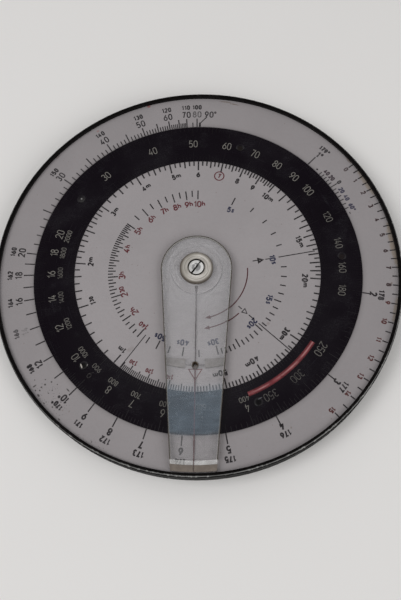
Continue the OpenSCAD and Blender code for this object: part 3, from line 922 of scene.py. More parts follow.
def temperature_angle(celsius):
    """A quarter of a turn for each tenfold of the absolute temperature."""
    return 33.8 + 90 * np.log10((273 + np.asarray(celsius, float)) / 273)


def by_steps(start, stop, step):
    """Readings from start to stop, both included."""
    return np.arange(round((stop - start) / step) + 1) * step + start


def multiples(values, step):
    """Which values are whole multiples of the step."""
    return np.abs(values / step - np.round(values / step)) < 1e-6


# Printing on the outer scale ring

def print_outer_ring():
    """Sine scale and its supplements, the altitude scale at the hoop and the temperature scale inside it."""
    black, brown, dark_brown, plum, blue = (Printing(face_z) for _ in range(5))
    fine, coarse = 0.41, 0.46
    edge = RING_OUT_R + 0.05
    whole = by_steps(1, 80, 1)
    long_ones = whole[(whole <= 20) | (multiples(whole, 5) & (whole != 75))]
    reach = np.where(long_ones == 1, 64.9, np.where(long_ones <= 3, 63.4, 64.4))
    black.ticks(sine_angle(long_ones), edge, reach, coarse)
    short_ones = np.append(whole[(whole > 20) & (whole < 70) & ~multiples(whole, 5)], [75, 85, 90])
    black.ticks(sine_angle(short_ones), edge, 62.6, fine)
    black.line([flat_spot(62.4, 89.5), flat_spot(65.2, 87.3)], fine)
    worn_ones = {14: 0.55, 80: 0.35, 18: 0.15, 16: 0.12}
    for value in list(range(1, 10)) + [10, 12, 14, 16, 18, 20, 30, 40, 50, 60, 70, 80]:
        radius, other_radius = (66.5, 69.45) if value == 1 else (64.7, 67.5) if value <= 4 else (66.3, 69.55)
        angle = sine_angle(value)
        mark = "^°" if value in (1, 10) else ""
        bold = 1.3 if value < 7 else 1.2 if value <= 12 else 1.0 if value < 30 else 0.9
        other_style = SUPPLEMENT_LOW if 1 < value < 9 else heavier(SUPPLEMENT, min(bold + 0.1, 1.2))
        if value in (2, 6):
            other_style = heavier(SUPPLEMENT_LOW, 1.2)
        if value == 5:
            bold = 1.15
        black.label(f"{value}{mark}", angle, radius, heavier(SINE, bold), worn_ones.get(value, 0.05))
        black.label(f"{180 - value}{mark}", angle, other_radius, other_style, 0.3 if value == 14 else 0.0)
    black.label("90^°", 86.6, 66.3, SINE, 0.2)
    black.ticks(altitude_angle(by_steps(0, 15, 0.5)), 71.3, SEAT_R - 0.1, 0.46, 0.06)
    for value in range(16):
        printing = dark_brown if value < 9 else brown
        printing.label(str(value), altitude_angle(value), 70.0, ALTITUDE, 0.05 if value else 0.28)
    celsius = by_steps(-60, 50, 10)
    black.ticks(temperature_angle(celsius), edge, np.where(celsius == 0, 63.5, 62.1), 0.38, 0.1)
    for value, radius, printing, text in (
        (40, 63.4, plum, "40"), (20, 63.4, plum, "20"), (0, 64.6, black, "0"),
        (-20, 63.4, blue, "20"), (-40, 63.4, blue, "40"), (-60, 63.4, blue, "60^°"),
    ):
        printing.label(text, temperature_angle(value), radius, TEMPERATURE, 0.08)
    black.label("+", 42.3, 61.6, SIGN, 0.1)
    black.label("-", 22.0, 61.6, SIGN, 0.1)
    for printing, name, finish in (
        (black, "black", black_ink), (brown, "red", brown_ink), (dark_brown, "brown", dark_brown_ink),
        (plum, "plum", plum_ink), (blue, "blue", faded_blue_ink),
    ):
        printing.put(f"outer_ring_{name}_print", "case", finish)


# Printing on the inner scale disc

def print_minutes(black, red):
    """Time scale at the disc's edge, from 1 to 96 minutes."""
    edge = RING_IN_R - 0.05
    short, medium, long = 43.5, 42.75, 41.6
    for start, stop, step, middle, whole in (
        (1, 3, 1 / 12, 1 / 6, 1 / 2), (3, 10, 1 / 6, 1 / 2, 1), (10, 20, 1 / 2, 1, 1), (20, 50, 1, 5, 10),
        (50, 96, 1, 5, 10),
    ):
        times = by_steps(start, stop, step)[1 if start > 1 else 0:]
        times = times[:-1] if stop == 96 else times
        full = 42.2 if start == 50 else long
        reach = np.where(multiples(times, whole), full, np.where(multiples(times, middle), medium, short))
        heavy = {1: 0.52, 3: 0.56, 20: 0.54, 50: 0.4}.get(start, 0.55)
        black.ticks(minutes_angle(times), reach, edge, heavy)
    black.ticks(-126.35, 30.4, edge, 0.32)
    texts = {1: "1^m", 1.5: "1^30", 2: "2^m", 3: "3^m", 4: "4^m", 5: "5^m", 6: "6", 8: "8", 9: "9",
             10: "10^m", 15: "15^m", 20: "20^m", 30: "30^m", 40: "40^m", 50: "50^m"}
    later = {3: 0.25, 4: 0.3, 5: 0.55, 8: -0.3, 9: -0.2, 10: 0.2}
    for value, text in texts.items():
        angle = minutes_angle(value) - later.get(value, 0.0)
        black.label(text, angle, 39.7, HALF_HOUR if value == 30 else MINUTES)
    seven = minutes_angle(7) + 0.35
    red.label("7", seven, 39.8, SEVEN)
    red.line(loop(*flat_spot(39.8, seven), 1.8, 1.8, 28), 0.42, closed=True)
    red.line([flat_spot(37.4, -93.6), flat_spot(37.4, -86.4), flat_spot(41.2, -90)], 0.36, closed=True)
    red.label("1", -90, 38.7, HOUR_MARK)
    for value, text in ((70, "1^10"), (80, "1^20"), (90, "1^30")):
        red.label(text, minutes_angle(value) + 0.8, 40.95, OVER_HOUR, 0.12)


def print_hours(black, red):
    """Hour scale, from 1 h 40 min on the left to 10 h at the top."""
    fine = by_steps(5 / 3, 5, 1 / 12)
    reach = np.where(multiples(fine, 1 / 2), 29.2, np.where(multiples(fine, 1 / 6), 30.1, 31.1))
    reach[0] = 29.2
    black.ticks(hours_angle(fine), reach, HOURS_R, 0.48)
    coarse = by_steps(5.5, 10, 0.5)
    black.ticks(hours_angle(coarse), np.where(multiples(coarse, 1), 29.2, 30.3), HOURS_R, 0.46)
    texts = {5 / 3: "1^40", 2: "2^h", 2.5: "2^30", **{value: f"{value}^h" for value in range(3, 11)}}
    earlier = {5 / 3: 0.5, 2: 0.0, 9: 0.5, 10: 0.15}
    nearer = {5 / 3: 28.0, 2.5: 28.0, 3: 27.7, 4: 27.7, 8: 27.2, 9: 27.2, 10: 27.2}
    for value, text in texts.items():
        angle = hours_angle(value) + earlier.get(value, 0.85)
        red.label(text, angle, nearer.get(value, 27.45), HOURS)


def print_seconds(black, blue):
    """Second scale, from 5 s near the top to 55 s on the left."""
    fine = by_steps(6, 30, 1)
    fine = fine[fine != 10]
    reach = np.where(multiples(fine, 5), 29.6, 30.95)
    reach[fine == 15] = 30.3
    black.ticks(seconds_angle(fine), reach, HOURS_R + 0.15, 0.47)
    black.ticks(seconds_angle([5, 40, 50]), 29.6, HOURS_R, 0.46)
    black.ticks(seconds_angle([35, 45, 55]), 30.3, HOURS_R, 0.44)
    radii = {5: 27.5, 10: 28.3, 15: 28.6, 20: 28.5, 30: 28.1, 40: 27.9, 50: 28.2}
    for value, radius in radii.items():
        blue.label(f"{value}^s", seconds_angle(value), radius, SECONDS)


def fill_triangle(printing, corners, share, width):
    """Fills a triangle with a smaller one round its middle."""
    middle = sum(corners) / 3
    printing.line([middle + share * (corner - middle) for corner in corners], width, closed=True, layer=1)


def print_index_lines(black, dark_red):
    """Two index lines with their triangles, and the two red arcs that point to the pointer's rest."""
    for angle, inner, outer in (
        (10.1, 30.6, 44.2), (10.1, 25.7, 29.4), (10.6, 20.9, 22.8),
        (-41.9, 30.2, 45.3), (-41.8, 25.5, 28.2), (-41.8, 20.5, 22.1),
    ):
        black.ticks(angle, inner, outer, 0.36)
    for angle, half_base, tip_radius, filled in ((10.1, 0.98, 25.0, True), (-41.9, 0.88, 24.7, False)):
        base = [flat_spot(22.9, angle) + side * flat_spot(half_base, angle + 90) for side in (-1, 1)]
        triangle = [*base, flat_spot(tip_radius, angle)]
        black.line(triangle, 0.33, closed=True)
        if filled:
            fill_triangle(black, triangle, 0.5, 0.38)
    first_arc = 18.7
    for radius, start, stop in ((first_arc, 3.5, -75.0), (22.5, -46.5, -78.5)):
        dark_red.arc(radius, start, stop, 0.42)
        back = [flat_spot(radius + side, stop + 0.8) for side in (-0.62, 0.62)]
        arrow = [flat_spot(radius, stop - 4.6 * first_arc / radius), *back]
        dark_red.line(arrow, 0.2, closed=True)
        fill_triangle(dark_red, arrow, 0.55, 0.4)


def print_inner_disc():
    """All of the inner disc's scales."""
    black, red, blue, dark_red = (Printing(face_z) for _ in range(4))
    print_minutes(black, red)
    print_hours(black, red)
    print_seconds(black, blue)
    print_index_lines(black, dark_red)
    black.put("inner_disc_black_print", "case", black_ink)
    red.put("inner_disc_red_print", "case", red_ink)
    dark_red.put("inner_disc_arc_print", "case", arc_ink)
    blue.put("inner_disc_blue_print", "case", blue_ink)


# Printing on the speed ring

def print_speed_ring():
    """Speed scale: ticks at both edges of the ring, a row of numerals, and a second row where the scale
    runs on."""
    ticks, cream = Printing(face_z), Printing(face_z)
    outer, inner = RING_OUT_R - 0.15, RING_IN_R + 0.15
    wear = np.random.default_rng(7)
    for start, stop, step, middle, whole, faded in (
        (10, 20, 0.2, 1, 1, 0.9), (20, 40, 0.5, 1, 5, 0.9), (40, 100, 1, 5, 10, 0.8),
        (100, 200, 2, 10, 20, 0.8), (200, 250, 5, 10, 50, 0.5), (250, 400, 5, 10, 50, 0.4),
        (400, 1000, 10, 50, 100, 0.42),
    ):
        speeds = by_steps(start, stop, step)[:-1]
        is_whole, is_middle = multiples(speeds, whole), multiples(speeds, middle)
        length = np.where(is_whole, 3.9, np.where(is_middle, 2.9, 1.9))
        fade = np.where(is_whole, faded - 0.12, faded) + wear.uniform(-0.1, 0.1, len(speeds))
        angles = speed_angle(speeds)
        ticks.ticks(angles, outer - length, outer, 0.24, np.clip(fade, 0, 1))
        at_band = (speeds > 243) & (speeds < 391)
        ticks.ticks(angles, inner, inner + np.where(at_band, 1.7, length), 0.24, np.clip(fade, 0, 1))
    later = {70: 0.4, 80: 0.4, 180: 0.3, 250: 0.3, 350: 0.4, 10: 0.5, 14: 0.4, 16: 0.2, 18: 0.2}
    later_again = {10: 0.5, 12: 0.3, 14: 0.25, 16: 0.6, 18: 0.45, 8: 0.3}
    worn_again = {5: 0.5, 9: 0.5, 14: 0.5, 16: 0.52, 20: 0.35}
    one_row = {value: 0.12 for value in range(30, 100, 10)}
    one_row.update({100: 0.16, 120: 0.4, 140: 0.4, 160: 0.4, 180: 0.4, 250: 0.42, 300: 0.6, 350: 0.58})
    for value, worn in one_row.items():
        radius = 53.4 if value > 110 else 53.1
        style = SPEED_HIGH if 110 < value < 200 else SPEED
        cream.label(str(value), speed_angle(value) - later.get(value, 0.0), radius, style, worn)
    for value in (10, 12, 14, 16, 18, 20, 4, 5, 6, 7, 8, 9):
        angle = speed_angle(value if value >= 10 else value * 100)
        rubbed = {4: 0.3, 5: 0.7, 9: 0.72, 10: 0.35}.get(value, 0.35 if value < 10 else 0.12)
        cream.label(str(value), angle - later.get(value, 0.0), 54.1, SPEED, rubbed)
        angle -= later_again.get(value, 0.0)
        cream.label(str(value * 100), angle, 50.8, SPEED_AGAIN, worn_again.get(value, 0.4))
    ticks.put("speed_ring_ticks", "speed_ring", grey_ink)
    cream.put("speed_ring_numerals", "speed_ring", cream_ink)


# The pointer's engraving, filled from below, and its frosted parts

def half_width_at(distance):
    """Half of the pointer's width at a distance from the pivot: straight from the head to the tip."""
    return SHOULDER_R - (SHOULDER_R - TIP_HALF_W) * distance / TIP_R


def sector_plate(inner, outer, left_x, right_x, low, high, columns=10):
    """Corners and faces of a thin plate between two arcs and two x limits on the pointer's side of the
    pivot. Each arc is a pair: its distance from the pivot and its radius, and y follows from x on the
    circle through that distance. Each x limit and each height is a pair too: at the inner and at the
    outer arc."""
    share = np.linspace(0, 1, columns)
    rows = []
    for heights in (low, high):
        for (distance, bend), left, right, height in zip((inner, outer), left_x, right_x, heights):
            x = left + (right - left) * share
            y = bend - distance - np.sqrt(bend * bend - x * x)
            rows.append(np.stack([x, y, np.full(columns, height)], axis=1))
    corners = np.concatenate(rows)
    index = np.arange(4 * columns).reshape(2, 2, columns)
    low_near, low_far, high_near, high_far = index[0, 0], index[0, 1], index[1, 0], index[1, 1]

    def strip(first, second):
        return np.stack([first[:-1], first[1:], second[1:], second[:-1]], axis=1)

    ends = np.array([
        [low_near[0], low_far[0], high_far[0], high_near[0]],
        [low_near[-1], high_near[-1], high_far[-1], low_far[-1]],
    ])
    strips = [
        strip(low_near, low_far), strip(high_far, high_near),
        strip(high_near, low_near), strip(low_far, high_far),
    ]
    return corners, np.vstack([*strips, ends])


def frosted(name, colour, second, opacity, rough, slit=False):
    """Frosted or sprayed surface of the pointer, a little cloudy. A slit leaves it clearer along the
    hairline."""
    frost = Finish(name, colour, IOR=1.45, Roughness=rough)
    cloud = frost.cloud(0.35, 0.35, 0.7)
    frost.tint(cloud, 0.7, second)
    frost.tint(frost.hairs(0.6, 0.02, 0.3), 0.25, second)
    fade = opacity - cloud * 0.12
    if slit:
        fade = fade * (0.25 + abs(frost.place().part("X")).rise(0.14, 0.3) * 0.75)
    return frost.done(Alpha=fade)


def edge_line(name, colour, second, opacity, at_side):
    """Thin line along the pointer's edge: strong round the head and weaker down its straight sides."""
    line = Finish(name, colour, IOR=1.45, Roughness=0.5)
    cloud = line.cloud(0.3, 0.3, 0.7)
    line.tint(cloud, 0.8, second)
    at_head = line.place().part("Y").rise(-9.0, 2.0)
    return line.done(Alpha=(at_side + at_head * (1.0 - at_side)) * opacity * (1.0 - cloud * 0.35))


def pointer_outline(end, inset):
    """Plan outline of the pointer, inset by a little, from the end distance on its left over the head to
    its right: the straight sides and the head's circle."""
    turn = np.radians(np.linspace(178, 2, 45))
    head = (HEAD_R - inset) * np.stack([np.cos(turn), np.sin(turn)], axis=1)
    side, shoulder = half_width_at(end) - inset, SHOULDER_R - inset
    return np.vstack([[-side, -end], [-shoulder, -0.3], head, [shoulder, -0.3], [side, -end]])


def pointer_film(inner, end, inset, low, high, rows=26):
    """Corners and faces of a thin film over the pointer's top, on rays from the pivot. A ray stops at the
    head's circle, at the straight side, where its x equals the half width at its y, or at the end
    distance."""
    corner = 270 - math.degrees(math.atan2(half_width_at(end), end))
    parts = ((0, 180, 90), (180, corner, 50), (corner, 540 - corner, 16), (540 - corner, 360, 50))
    turn = np.radians(np.concatenate([np.linspace(*part, endpoint=False) for part in parts]))
    slope = (SHOULDER_R - TIP_HALF_W) / TIP_R
    side = (SHOULDER_R - inset) / (np.abs(np.cos(turn)) - slope * np.sin(turn))
    reach = np.where(np.sin(turn) < 0, np.minimum(side, end), HEAD_R - inset)
    radius = inner + (reach - inner) * np.linspace(0, 1, rows)[:, None]
    plan = np.stack([radius * np.cos(turn), radius * np.sin(turn)], axis=2)
    count = len(turn)
    corners = np.zeros((2, rows, count, 3))
    corners[..., :2] = plan
    corners[0, ..., 2], corners[1, ..., 2] = low, high
    index = np.arange(2 * rows * count).reshape(2, rows, count)
    after = np.roll(index, -1, axis=2)

    def strip(near, near_after, far, far_after):
        return np.stack([near, far, far_after, near_after], axis=-1).reshape(-1, 4)

    faces = np.vstack([
        strip(index[1, :-1], after[1, :-1], index[1, 1:], after[1, 1:]),
        strip(after[0, :-1], index[0, :-1], after[0, 1:], index[0, 1:]),
        strip(index[1, -1], after[1, -1], index[0, -1], after[0, -1]),
        strip(index[0, 0], after[0, 0], index[1, 0], after[1, 0]),
    ])
    return corners.reshape(-1, 3), faces


def revolved(profile, centre, sides):
    """Corners and faces of a profile of radii and heights, a closed line, turned once round an upright
    axis."""
    turn = np.linspace(0, 2 * math.pi, sides, endpoint=False)
    radius, height = np.asarray(profile, float).T
    x = centre[0] + np.outer(np.cos(turn), radius)
    y = centre[1] + np.outer(np.sin(turn), radius)
    corners = np.stack([x, y, np.tile(height, (sides, 1))], axis=2).reshape(-1, 3)
    index = np.arange(sides * len(radius)).reshape(sides, -1)
    along, around = np.roll(index, -1, axis=1), np.roll(index, -1, axis=0)
    both = np.roll(along, -1, axis=0)
    return corners, np.stack([index, around, both, along], axis=-1).reshape(-1, 4)


def scuffed_film(name):
    """Thin pale veil of fine wear on the acrylic: cloudy, with scratches and rings polished in near the
    pivot, thicker round the head as painted sheen. Over the black speed ring it is a bluish painted
    reflection."""
    film = Finish(name, tone(0.72, 0.715, 0.735), IOR=1.45, Roughness=0.5)
    spot = film.spot()
    radius = spot["Radius"]
    # Painted reflection: a bluish tint and a thicker veil where the pointer lies over the black speed ring
    ring_reflection = radius.rise(41.0, 47.0) * radius.fall(59.5, 62.0)
    film.tint(ring_reflection, 1.0, tone(0.50, 0.63, 0.76))
    streaks = spot["Place"].stretched((0.22, 1.5, 1.0)).noise(1.0, 4.0, 0.6).rise(0.4, 0.7)
    rings = film.rings(2.8, 1.3).rise(0.46, 0.62) * radius.fall(SLIP_R - 0.5, HEAD_R - 0.2)
    veil = 0.025
    # The veil's parts; the one that is thicker round the head is painted sheen
    for wear, share in (
        (film.cloud(0.12, 0.3, 0.7), 0.025), (streaks, 0.03), (radius.fall(HEAD_R - 2.0, HEAD_R + 6.0), 0.05),
        (ring_reflection, 0.045), (film.mask(specks, Scale=0.8, Size=0.16, Share=0.12), 0.3), (rings, 0.10),
        (film.hairs(0.3, 0.012, 0.15), 0.06),
    ):
        veil = veil + wear * share
    off_hole = spot["Place"].vector("DISTANCE", (0, -PENCIL_R, pointer_top_z))
    return film.done(Alpha=veil * off_hole.rise(PENCIL_TOP_R - 0.1, PENCIL_TOP_R))


def engrave_pointer():
    """Hairline and cross lines on the pointer's underside, filled from below."""
    dark_line = ink("hairline dark ink", tone(0.028, 0.011, 0.013), tone(0.12, 0.08, 0.08))
    red_line = ink("hairline red ink", tone(0.070, 0.006, 0.010), tone(0.09, 0.02, 0.02))
    grey_line = ink("pointer cross line ink", tone(0.10, 0.09, 0.085), tone(0.3, 0.3, 0.3))
    low = pointer_z + 0.01
    start = COLLAR_R + 0.1
    inner_line = Printing(low)
    for reach, width, layer in ((34.9, 0.36, 0), (7.3, 1.2, 3), (8.4, 0.9, 2), (9.8, 0.6, 1)):
        inner_line.line([(0, -start), (0, -reach)], width, layer=layer)
    inner_line.put("pointer_hairline_inner", "pointer", dark_line)
    outer_line = Printing(low)
    outer_line.line([(0, -PENCIL_R - PENCIL_TOP_R), (0, 0.2 - TIP_R)], 0.42)
    outer_line.put("pointer_hairline_outer", "pointer", red_line)
    cross = Printing(low + 0.002)
    for side in (-1, 1):
        for radius, near, far, width in ((PENCIL_R, 1.5, 5.4, 0.22), (37.2, 5.6, 15.8, 0.2)):
            cross.arc(radius, -90 + side * near, -90 + side * far, width)
    cross.put("pointer_cross_lines", "pointer", grey_line)


def frost_pointer():
    """The two frosted bands, a pale painted highlight on the facet and the frosted bevel at the tip."""
    band = frosted("pointer band frosting", tone(0.262, 0.246, 0.240), tone(0.215, 0.200, 0.192), 0.93, 0.6)
    near, inner, outer = 3.45, (33.65, 104.0), (36.95, 70.0)
    far = [half_width_at(distance) - 0.3 for distance, _ in (inner, outer)]
    low, high = [pointer_z + 0.008] * 2, [pointer_z + 0.03] * 2
    for name, left, right in (
        ("pointer_band_left", (-far[0], -far[1]), (-near, -near)), ("pointer_band_right", (near, near), far),
    ):
        make_piece(name, *sector_plate(inner, outer, left, right, low, high), "pointer", band)
    # Painted highlight: a pale film on the tilted facet, where it would mirror light
    facet_highlight = frosted(
        "pointer facet painted highlight", tone(0.98, 0.98, 0.97), tone(0.88, 0.87, 0.85), 0.28, 0.25, slit=True,
    )
    bevel = frosted(
        "pointer tip frosting", tone(0.225, 0.190, 0.163), tone(0.175, 0.145, 0.122), 0.78, 0.55, slit=True,
    )
    lift, skin = 0.002, 0.012
    for name, ends, finish in (
        ("pointer_facet_highlight", np.array([FACET_R + 0.05, BEVEL_R - 0.02]), facet_highlight),
        ("pointer_tip_frosting", np.array([BEVEL_R + 0.02, TIP_R - 0.05]), bevel),
    ):
        half = half_width_at(ends) - 0.06
        drop = np.interp(ends, (FACET_R, BEVEL_R, TIP_R), (0, FACET_DROP, TIP_DROP))
        low = pointer_top_z - drop + lift
        plate = sector_plate((ends[0], ends[0]), (ends[1], ends[1]), -half, half, low, low + skin)
        make_piece(name, *plate, "pointer", finish)


def age_pointer():
    """Old dirt along the pointer's side edges and in its pencil hole, painted shade under its edge and round
    its pencil hole, a dark line and a painted highlight along its edge, and its scuffed top with painted
    sheen."""
    grime = frosted("pointer edge grime", tone(0.15, 0.12, 0.085), tone(0.10, 0.08, 0.056), 0.9, 0.6)
    inset = 0.03
    end = FACET_R - 0.4
    edge = Printing(pointer_z + inset, pointer_top_z - pointer_z - 2 * inset)
    edge.line(pointer_outline(end, inset), inset)
    edge.put("pointer_edge_grime", "pointer", grime)
    tip = Printing(pointer_z + inset, pointer_top_z - pointer_z - 1.0)
    for side in (-1, 1):
        places = [(side * (half_width_at(radius) - inset), -radius) for radius in (FACET_R, TIP_R - 0.7)]
        tip.line(places, inset)
    tip.put("pointer_tip_grime", "pointer", grime)
    # Painted shade: a dark band under the pointer's edge, in the colour of dirt
    underside_shade = frosted("pointer underside painted shade", tone(0.15, 0.126, 0.103), tone(0.11, 0.092, 0.074), 0.97, 0.6)
    under = Printing(pointer_z + 0.008, 0.02)
    under.line(pointer_outline(end, 0.22), 0.34)
    under.put("pointer_underside_shade", "pointer", underside_shade)
    lead = frosted("pencil lead dirt", tone(0.10, 0.075, 0.05), tone(0.055, 0.04, 0.027), 0.97, 0.5)
    wall, gap, below_top = 0.12, 0.02, 0.1
    low_r, low_z = PENCIL_LOW_R - gap, pointer_z + gap
    top_r, top_z = PENCIL_TOP_R - below_top, pointer_top_z - below_top
    profile = [(low_r - wall, low_z), (low_r, low_z), (top_r, top_z), (top_r - wall, top_z)]
    make_piece("pointer_pencil_hole_dirt", *revolved(profile, (0, -PENCIL_R), 40), "pointer", lead)
    # Painted shade: a dark ring under the pencil hole that makes the hole look deeper and darker
    hole_shade = Printing(pointer_z + 0.008, 0.02)
    hole_shade.line(loop(0, -PENCIL_R, 0.95, 1.3, 24), 0.55, closed=True)
    pencil = frosted("pencil hole painted shade", tone(0.075, 0.058, 0.042), tone(0.045, 0.035, 0.026), 0.8, 0.5)
    hole_shade.put("pointer_pencil_hole_shade", "pointer", pencil)
    # A dark line along the pointer's edge, and a pale painted highlight inside it
    for name, inset, width, colour, second, opacity, at_side in (
        ("pointer_dark_edge", 0.16, 0.28, tone(0.050, 0.042, 0.034), tone(0.085, 0.070, 0.055), 0.85, 0.45),
        ("pointer_edge_highlight", 0.44, 0.22, tone(0.50, 0.49, 0.47), tone(0.42, 0.41, 0.39), 0.42, 0.3),
    ):
        line = Printing(pointer_top_z + 0.008, 0.004)
        line.line(pointer_outline(end, inset), width)
        line.put(name, "pointer", edge_line(name.replace("_", " "), colour, second, opacity, at_side))
    film = pointer_film(COLLAR_R - 1.6, FACET_R - 0.2, 0.12, pointer_top_z + 0.002, pointer_top_z + 0.006)
    make_piece("pointer_scuffs_and_sheen_top", *film, "pointer", scuffed_film("pointer scuffs and painted sheen film"))


# Rear side: compass ring, grid card and wind disc

def print_rear():
    """Compass divisions on the rear ring, a square grid on the card, and circles and a course line on the
    wind disc."""
    compass = Printing(compass_z - PRINT_T - 3 * STROKE_STEP)
    degrees = np.arange(360)
    length = np.where(degrees % 10 == 0, 3.2, np.where(degrees % 5 == 0, 2.3, 1.4))
    compass_in_r = 60.2
    compass.ticks(90.0 + degrees, compass_in_r, compass_in_r + length, 0.2)
    for value in range(0, 360, 10):
        style = COURSE_BETWEEN if value % 30 else COURSE
        compass.label(str(value), 90.0 + value, 69.2, style, 0.08, rear=True)
    compass.arc(compass_in_r, 90, 450, 0.16)
    compass.put("compass_ring_print", "case", black_ink)
    grid = Printing(card_z - PRINT_T - 2 * STROKE_STEP)
    reach, hub_reach = 59.4, 6.7
    for offset in np.arange(-55, 56, 5):
        half = math.sqrt(reach * reach - offset * offset)
        width = 0.22 if offset % 10 == 0 else 0.12
        if abs(offset) < hub_reach:
            inner = math.sqrt(hub_reach * hub_reach - offset * offset)
            for sign in (-1, 1):
                grid.line([(sign * inner, offset), (sign * half, offset)], width)
                grid.line([(offset, sign * inner), (offset, sign * half)], width, layer=1)
        else:
            grid.line([(-half, offset), (half, offset)], width)
            grid.line([(offset, -half), (offset, half)], width, layer=1)
    grid.put("grid_card_print", "case", blue_ink)
    wind = Printing(wind_z - PRINT_T - 2 * STROKE_STEP)
    for sign in (1, -1):
        wind.line([(0, sign * 8.0), (0, sign * 59.0)], 0.3)
    wind.line([(-1.6, 56.0), (0, 59.2), (1.6, 56.0)], 0.3, layer=1)
    for radius in (20, 40):
        wind.arc(radius, 0, 360, 0.18)
    for distance in range(10, 56, 5):
        half = 1.6 if distance % 10 == 0 else 0.9
        for sign in (-1, 1):
            wind.line([(-half, sign * distance), (half, sign * distance)], 0.2, layer=1)
    wind.put("wind_disc_print", "wind_disc", black_ink)


print_outer_ring()
print_inner_disc()
print_speed_ring()
engrave_pointer()
frost_pointer()
age_pointer()
print_rear()

# Finishes of the CAD nodes

nickel = turned_metal("turned nickel", tone(0.66, 0.61, 0.53), tone(0.42, 0.37, 0.30), 0.27, 2.2, 0.02)
brass = turned_metal("turned brass", tone(0.66, 0.50, 0.25), tone(0.42, 0.30, 0.14), 0.3, 3.0, 0.01)
steel = plain_metal("plain steel", tone(0.50, 0.50, 0.52), 0.32)
sheet = plain_metal("rolled aluminium", tone(0.62, 0.63, 0.65), 0.38)
rivet_metal = plain_metal("rivet aluminium", tone(0.56, 0.56, 0.58), 0.35, 1.2)
washer = fibre("pale washer fibre", tone(0.355, 0.332, 0.340), tone(0.335, 0.312, 0.320), 0.8, 0.006, SLIP_R)
NODE_FINISHES = {
    "rim_hoop": hoop_black(),
    "base_plate": sheet,
    "outer_spacer": sheet,
    "inner_spacer": sheet,
    "outer_scale_ring": outer_ring_white(),
    "inner_scale_disc": inner_disc_white(),
    "speed_ring": ring_black(),
    "range_band": band_red(),
    "friction_felt": fibre("grey felt", tone(0.25, 0.23, 0.21), tone(0.14, 0.13, 0.12), 1.4, 0.06),
    "centre_hub": brass,
    "hub_rivets": rivet_metal,
    "ledge_screws": steel,
    "outer_ring_rivets": rivet_metal,
    "inner_disc_rivets": rivet_metal,
    "dowel_pins": steel,
    "slip_washer": washer,
    "pointer_arm": acrylic("pointer acrylic", tone(0.50, 0.44, 0.35), 12.5),
    "pointer_bush": nickel,
    "pointer_collar": collar_nickel(),
    "spring_washer": steel,
    "pivot_screw": screw_nickel(),
    "grid_card": fibre("printed card", tone(0.46, 0.44, 0.40), tone(0.38, 0.36, 0.32), 0.9, 0.005),
    # The compass ring's enamel gets painted shade towards the hoop
    "compass_ring": white_enamel("compass ring white enamel", WHITE, shades=((72.6, SEAT_R, 0.8, 0.6),)),
    "compass_ring_screws": steel,
    "wind_disc": acrylic("wind disc acrylic", tone(0.55, 0.52, 0.42), 7.0),
    "wind_disc_bush": brass,
    "rear_slip_washer": washer,
    "rear_spring_washer": steel,
    "rear_nut": nickel,
}
for node_name, node_finish in NODE_FINISHES.items():
    for material_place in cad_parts[node_name].material_slots:
        material_place.material = node_finish

# Floor, light and camera. Places are in metres and turns in degrees

FLOOR_HALF = 1.5
OVERHEAD = (-0.0516, 0.316, 0.947)
PATCH_EDGE = [math.cos(math.radians(angle)) for angle in (8.5, 4.0)]
CAMERA_PLACE = (0.014704, -0.103340, 0.270690 + face_z * MM)
CAMERA_TURN = (18.794, 2.5425, 0.7341)


def make_floor():
    """A flat pale floor, three metres square, under the instrument's rear rim."""
    paint = Finish("pale floor", tone(0.80, 0.79, 0.78), Roughness=0.9)
    paint.tint(paint.cloud(0.004, 0.3, 0.7), 0.5, tone(0.77, 0.76, 0.75))
    mesh = bpy.data.meshes.new("floor")
    corners = [(x * FLOOR_HALF, y * FLOOR_HALF, 0) for x, y in ((-1, -1), (1, -1), (1, 1), (-1, 1))]
    mesh.from_pydata(corners, [], [(0, 1, 2, 3)])
    mesh.materials.append(paint.done())
    floor = bpy.data.objects.new("floor", mesh)
    bpy.context.collection.objects.link(floor)


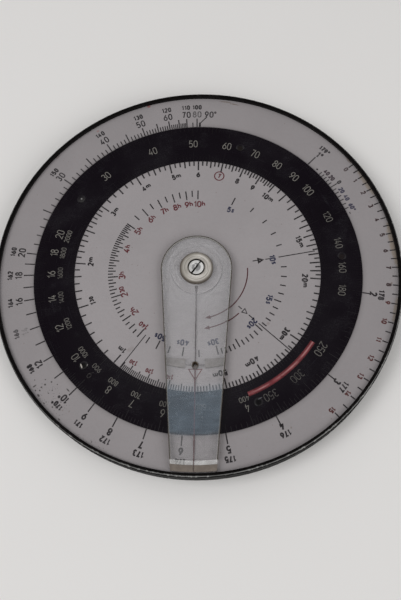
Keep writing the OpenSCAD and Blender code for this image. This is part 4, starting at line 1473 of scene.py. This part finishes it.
def add_softbox(name, place, size, watts):
    """A square area lamp, turned to face the pivot. Gloss and glass don't mirror it."""
    lamp = bpy.data.lights.new(name, "AREA")
    lamp.shape = "SQUARE"
    lamp.size = size
    lamp.energy = watts
    holder = bpy.data.objects.new(name, lamp)
    bpy.context.collection.objects.link(holder)
    holder.visible_glossy = holder.visible_transmission = False
    holder.location = place
    x, y, z = place
    holder.rotation_euler = (math.atan2(math.hypot(x, y), z), 0, math.atan2(-y, -x) - math.pi / 2)


def light_world(strength):
    """Even pale studio light. In what gloss and glass mirror, the ceiling is dimmer, with a pale patch
    overhead."""
    world = bpy.data.worlds.new("studio")
    bpy.context.scene.world = world
    world.use_nodes = True
    tree = world.node_tree
    tree.nodes.clear()
    sky = lay(tree, "TexCoord")["Generated"]
    patch = sky.vector("DOT_PRODUCT", OVERHEAD).rise(*PATCH_EDGE)
    mirrored = 0.6 - sky.part("Z").rise(0.3, 0.85) * 0.5 + patch * 0.55
    path = lay(tree, "LightPath")
    shine = path["Is Glossy Ray"].larger(path["Is Transmission Ray"])
    level = lay(tree, "Mix", {0: shine, 2: strength, 3: mirrored}, data_type="FLOAT")[0]
    level = lay(tree, "Mix", {0: path["Is Camera Ray"], 2: level, 3: 0.9}, data_type="FLOAT")[0]
    colour = blend(tree, patch * shine, tone(1.0, 0.99, 0.98), tone(0.97, 0.99, 1.03))
    ground = lay(tree, "Background", {"Color": colour, "Strength": level})
    end = tree.nodes.new("ShaderNodeOutputWorld")
    tree.links.new(ground[0].socket, end.inputs["Surface"])


def set_camera():
    """The camera that the photograph's circles and scale divisions gave."""
    lens = bpy.data.cameras.new("camera")
    lens.lens = 47.18
    lens.sensor_width = 36
    lens.sensor_fit = "AUTO"
    lens.clip_start = 0.01
    stand = bpy.data.objects.new("camera", lens)
    bpy.context.collection.objects.link(stand)
    stand.location = CAMERA_PLACE
    stand.rotation_euler = [math.radians(turn) for turn in CAMERA_TURN]
    bpy.context.scene.camera = stand
    bpy.context.scene.view_settings.view_transform = "Standard"


make_floor()
light_world(0.5)
add_softbox("key softbox", (-0.55, -0.1, 0.78), 0.55, 3.0)
add_softbox("fill softbox", (0.6, -0.45, 0.6), 0.6, 2.2)
set_camera()

bpy.context.view_layer.update()
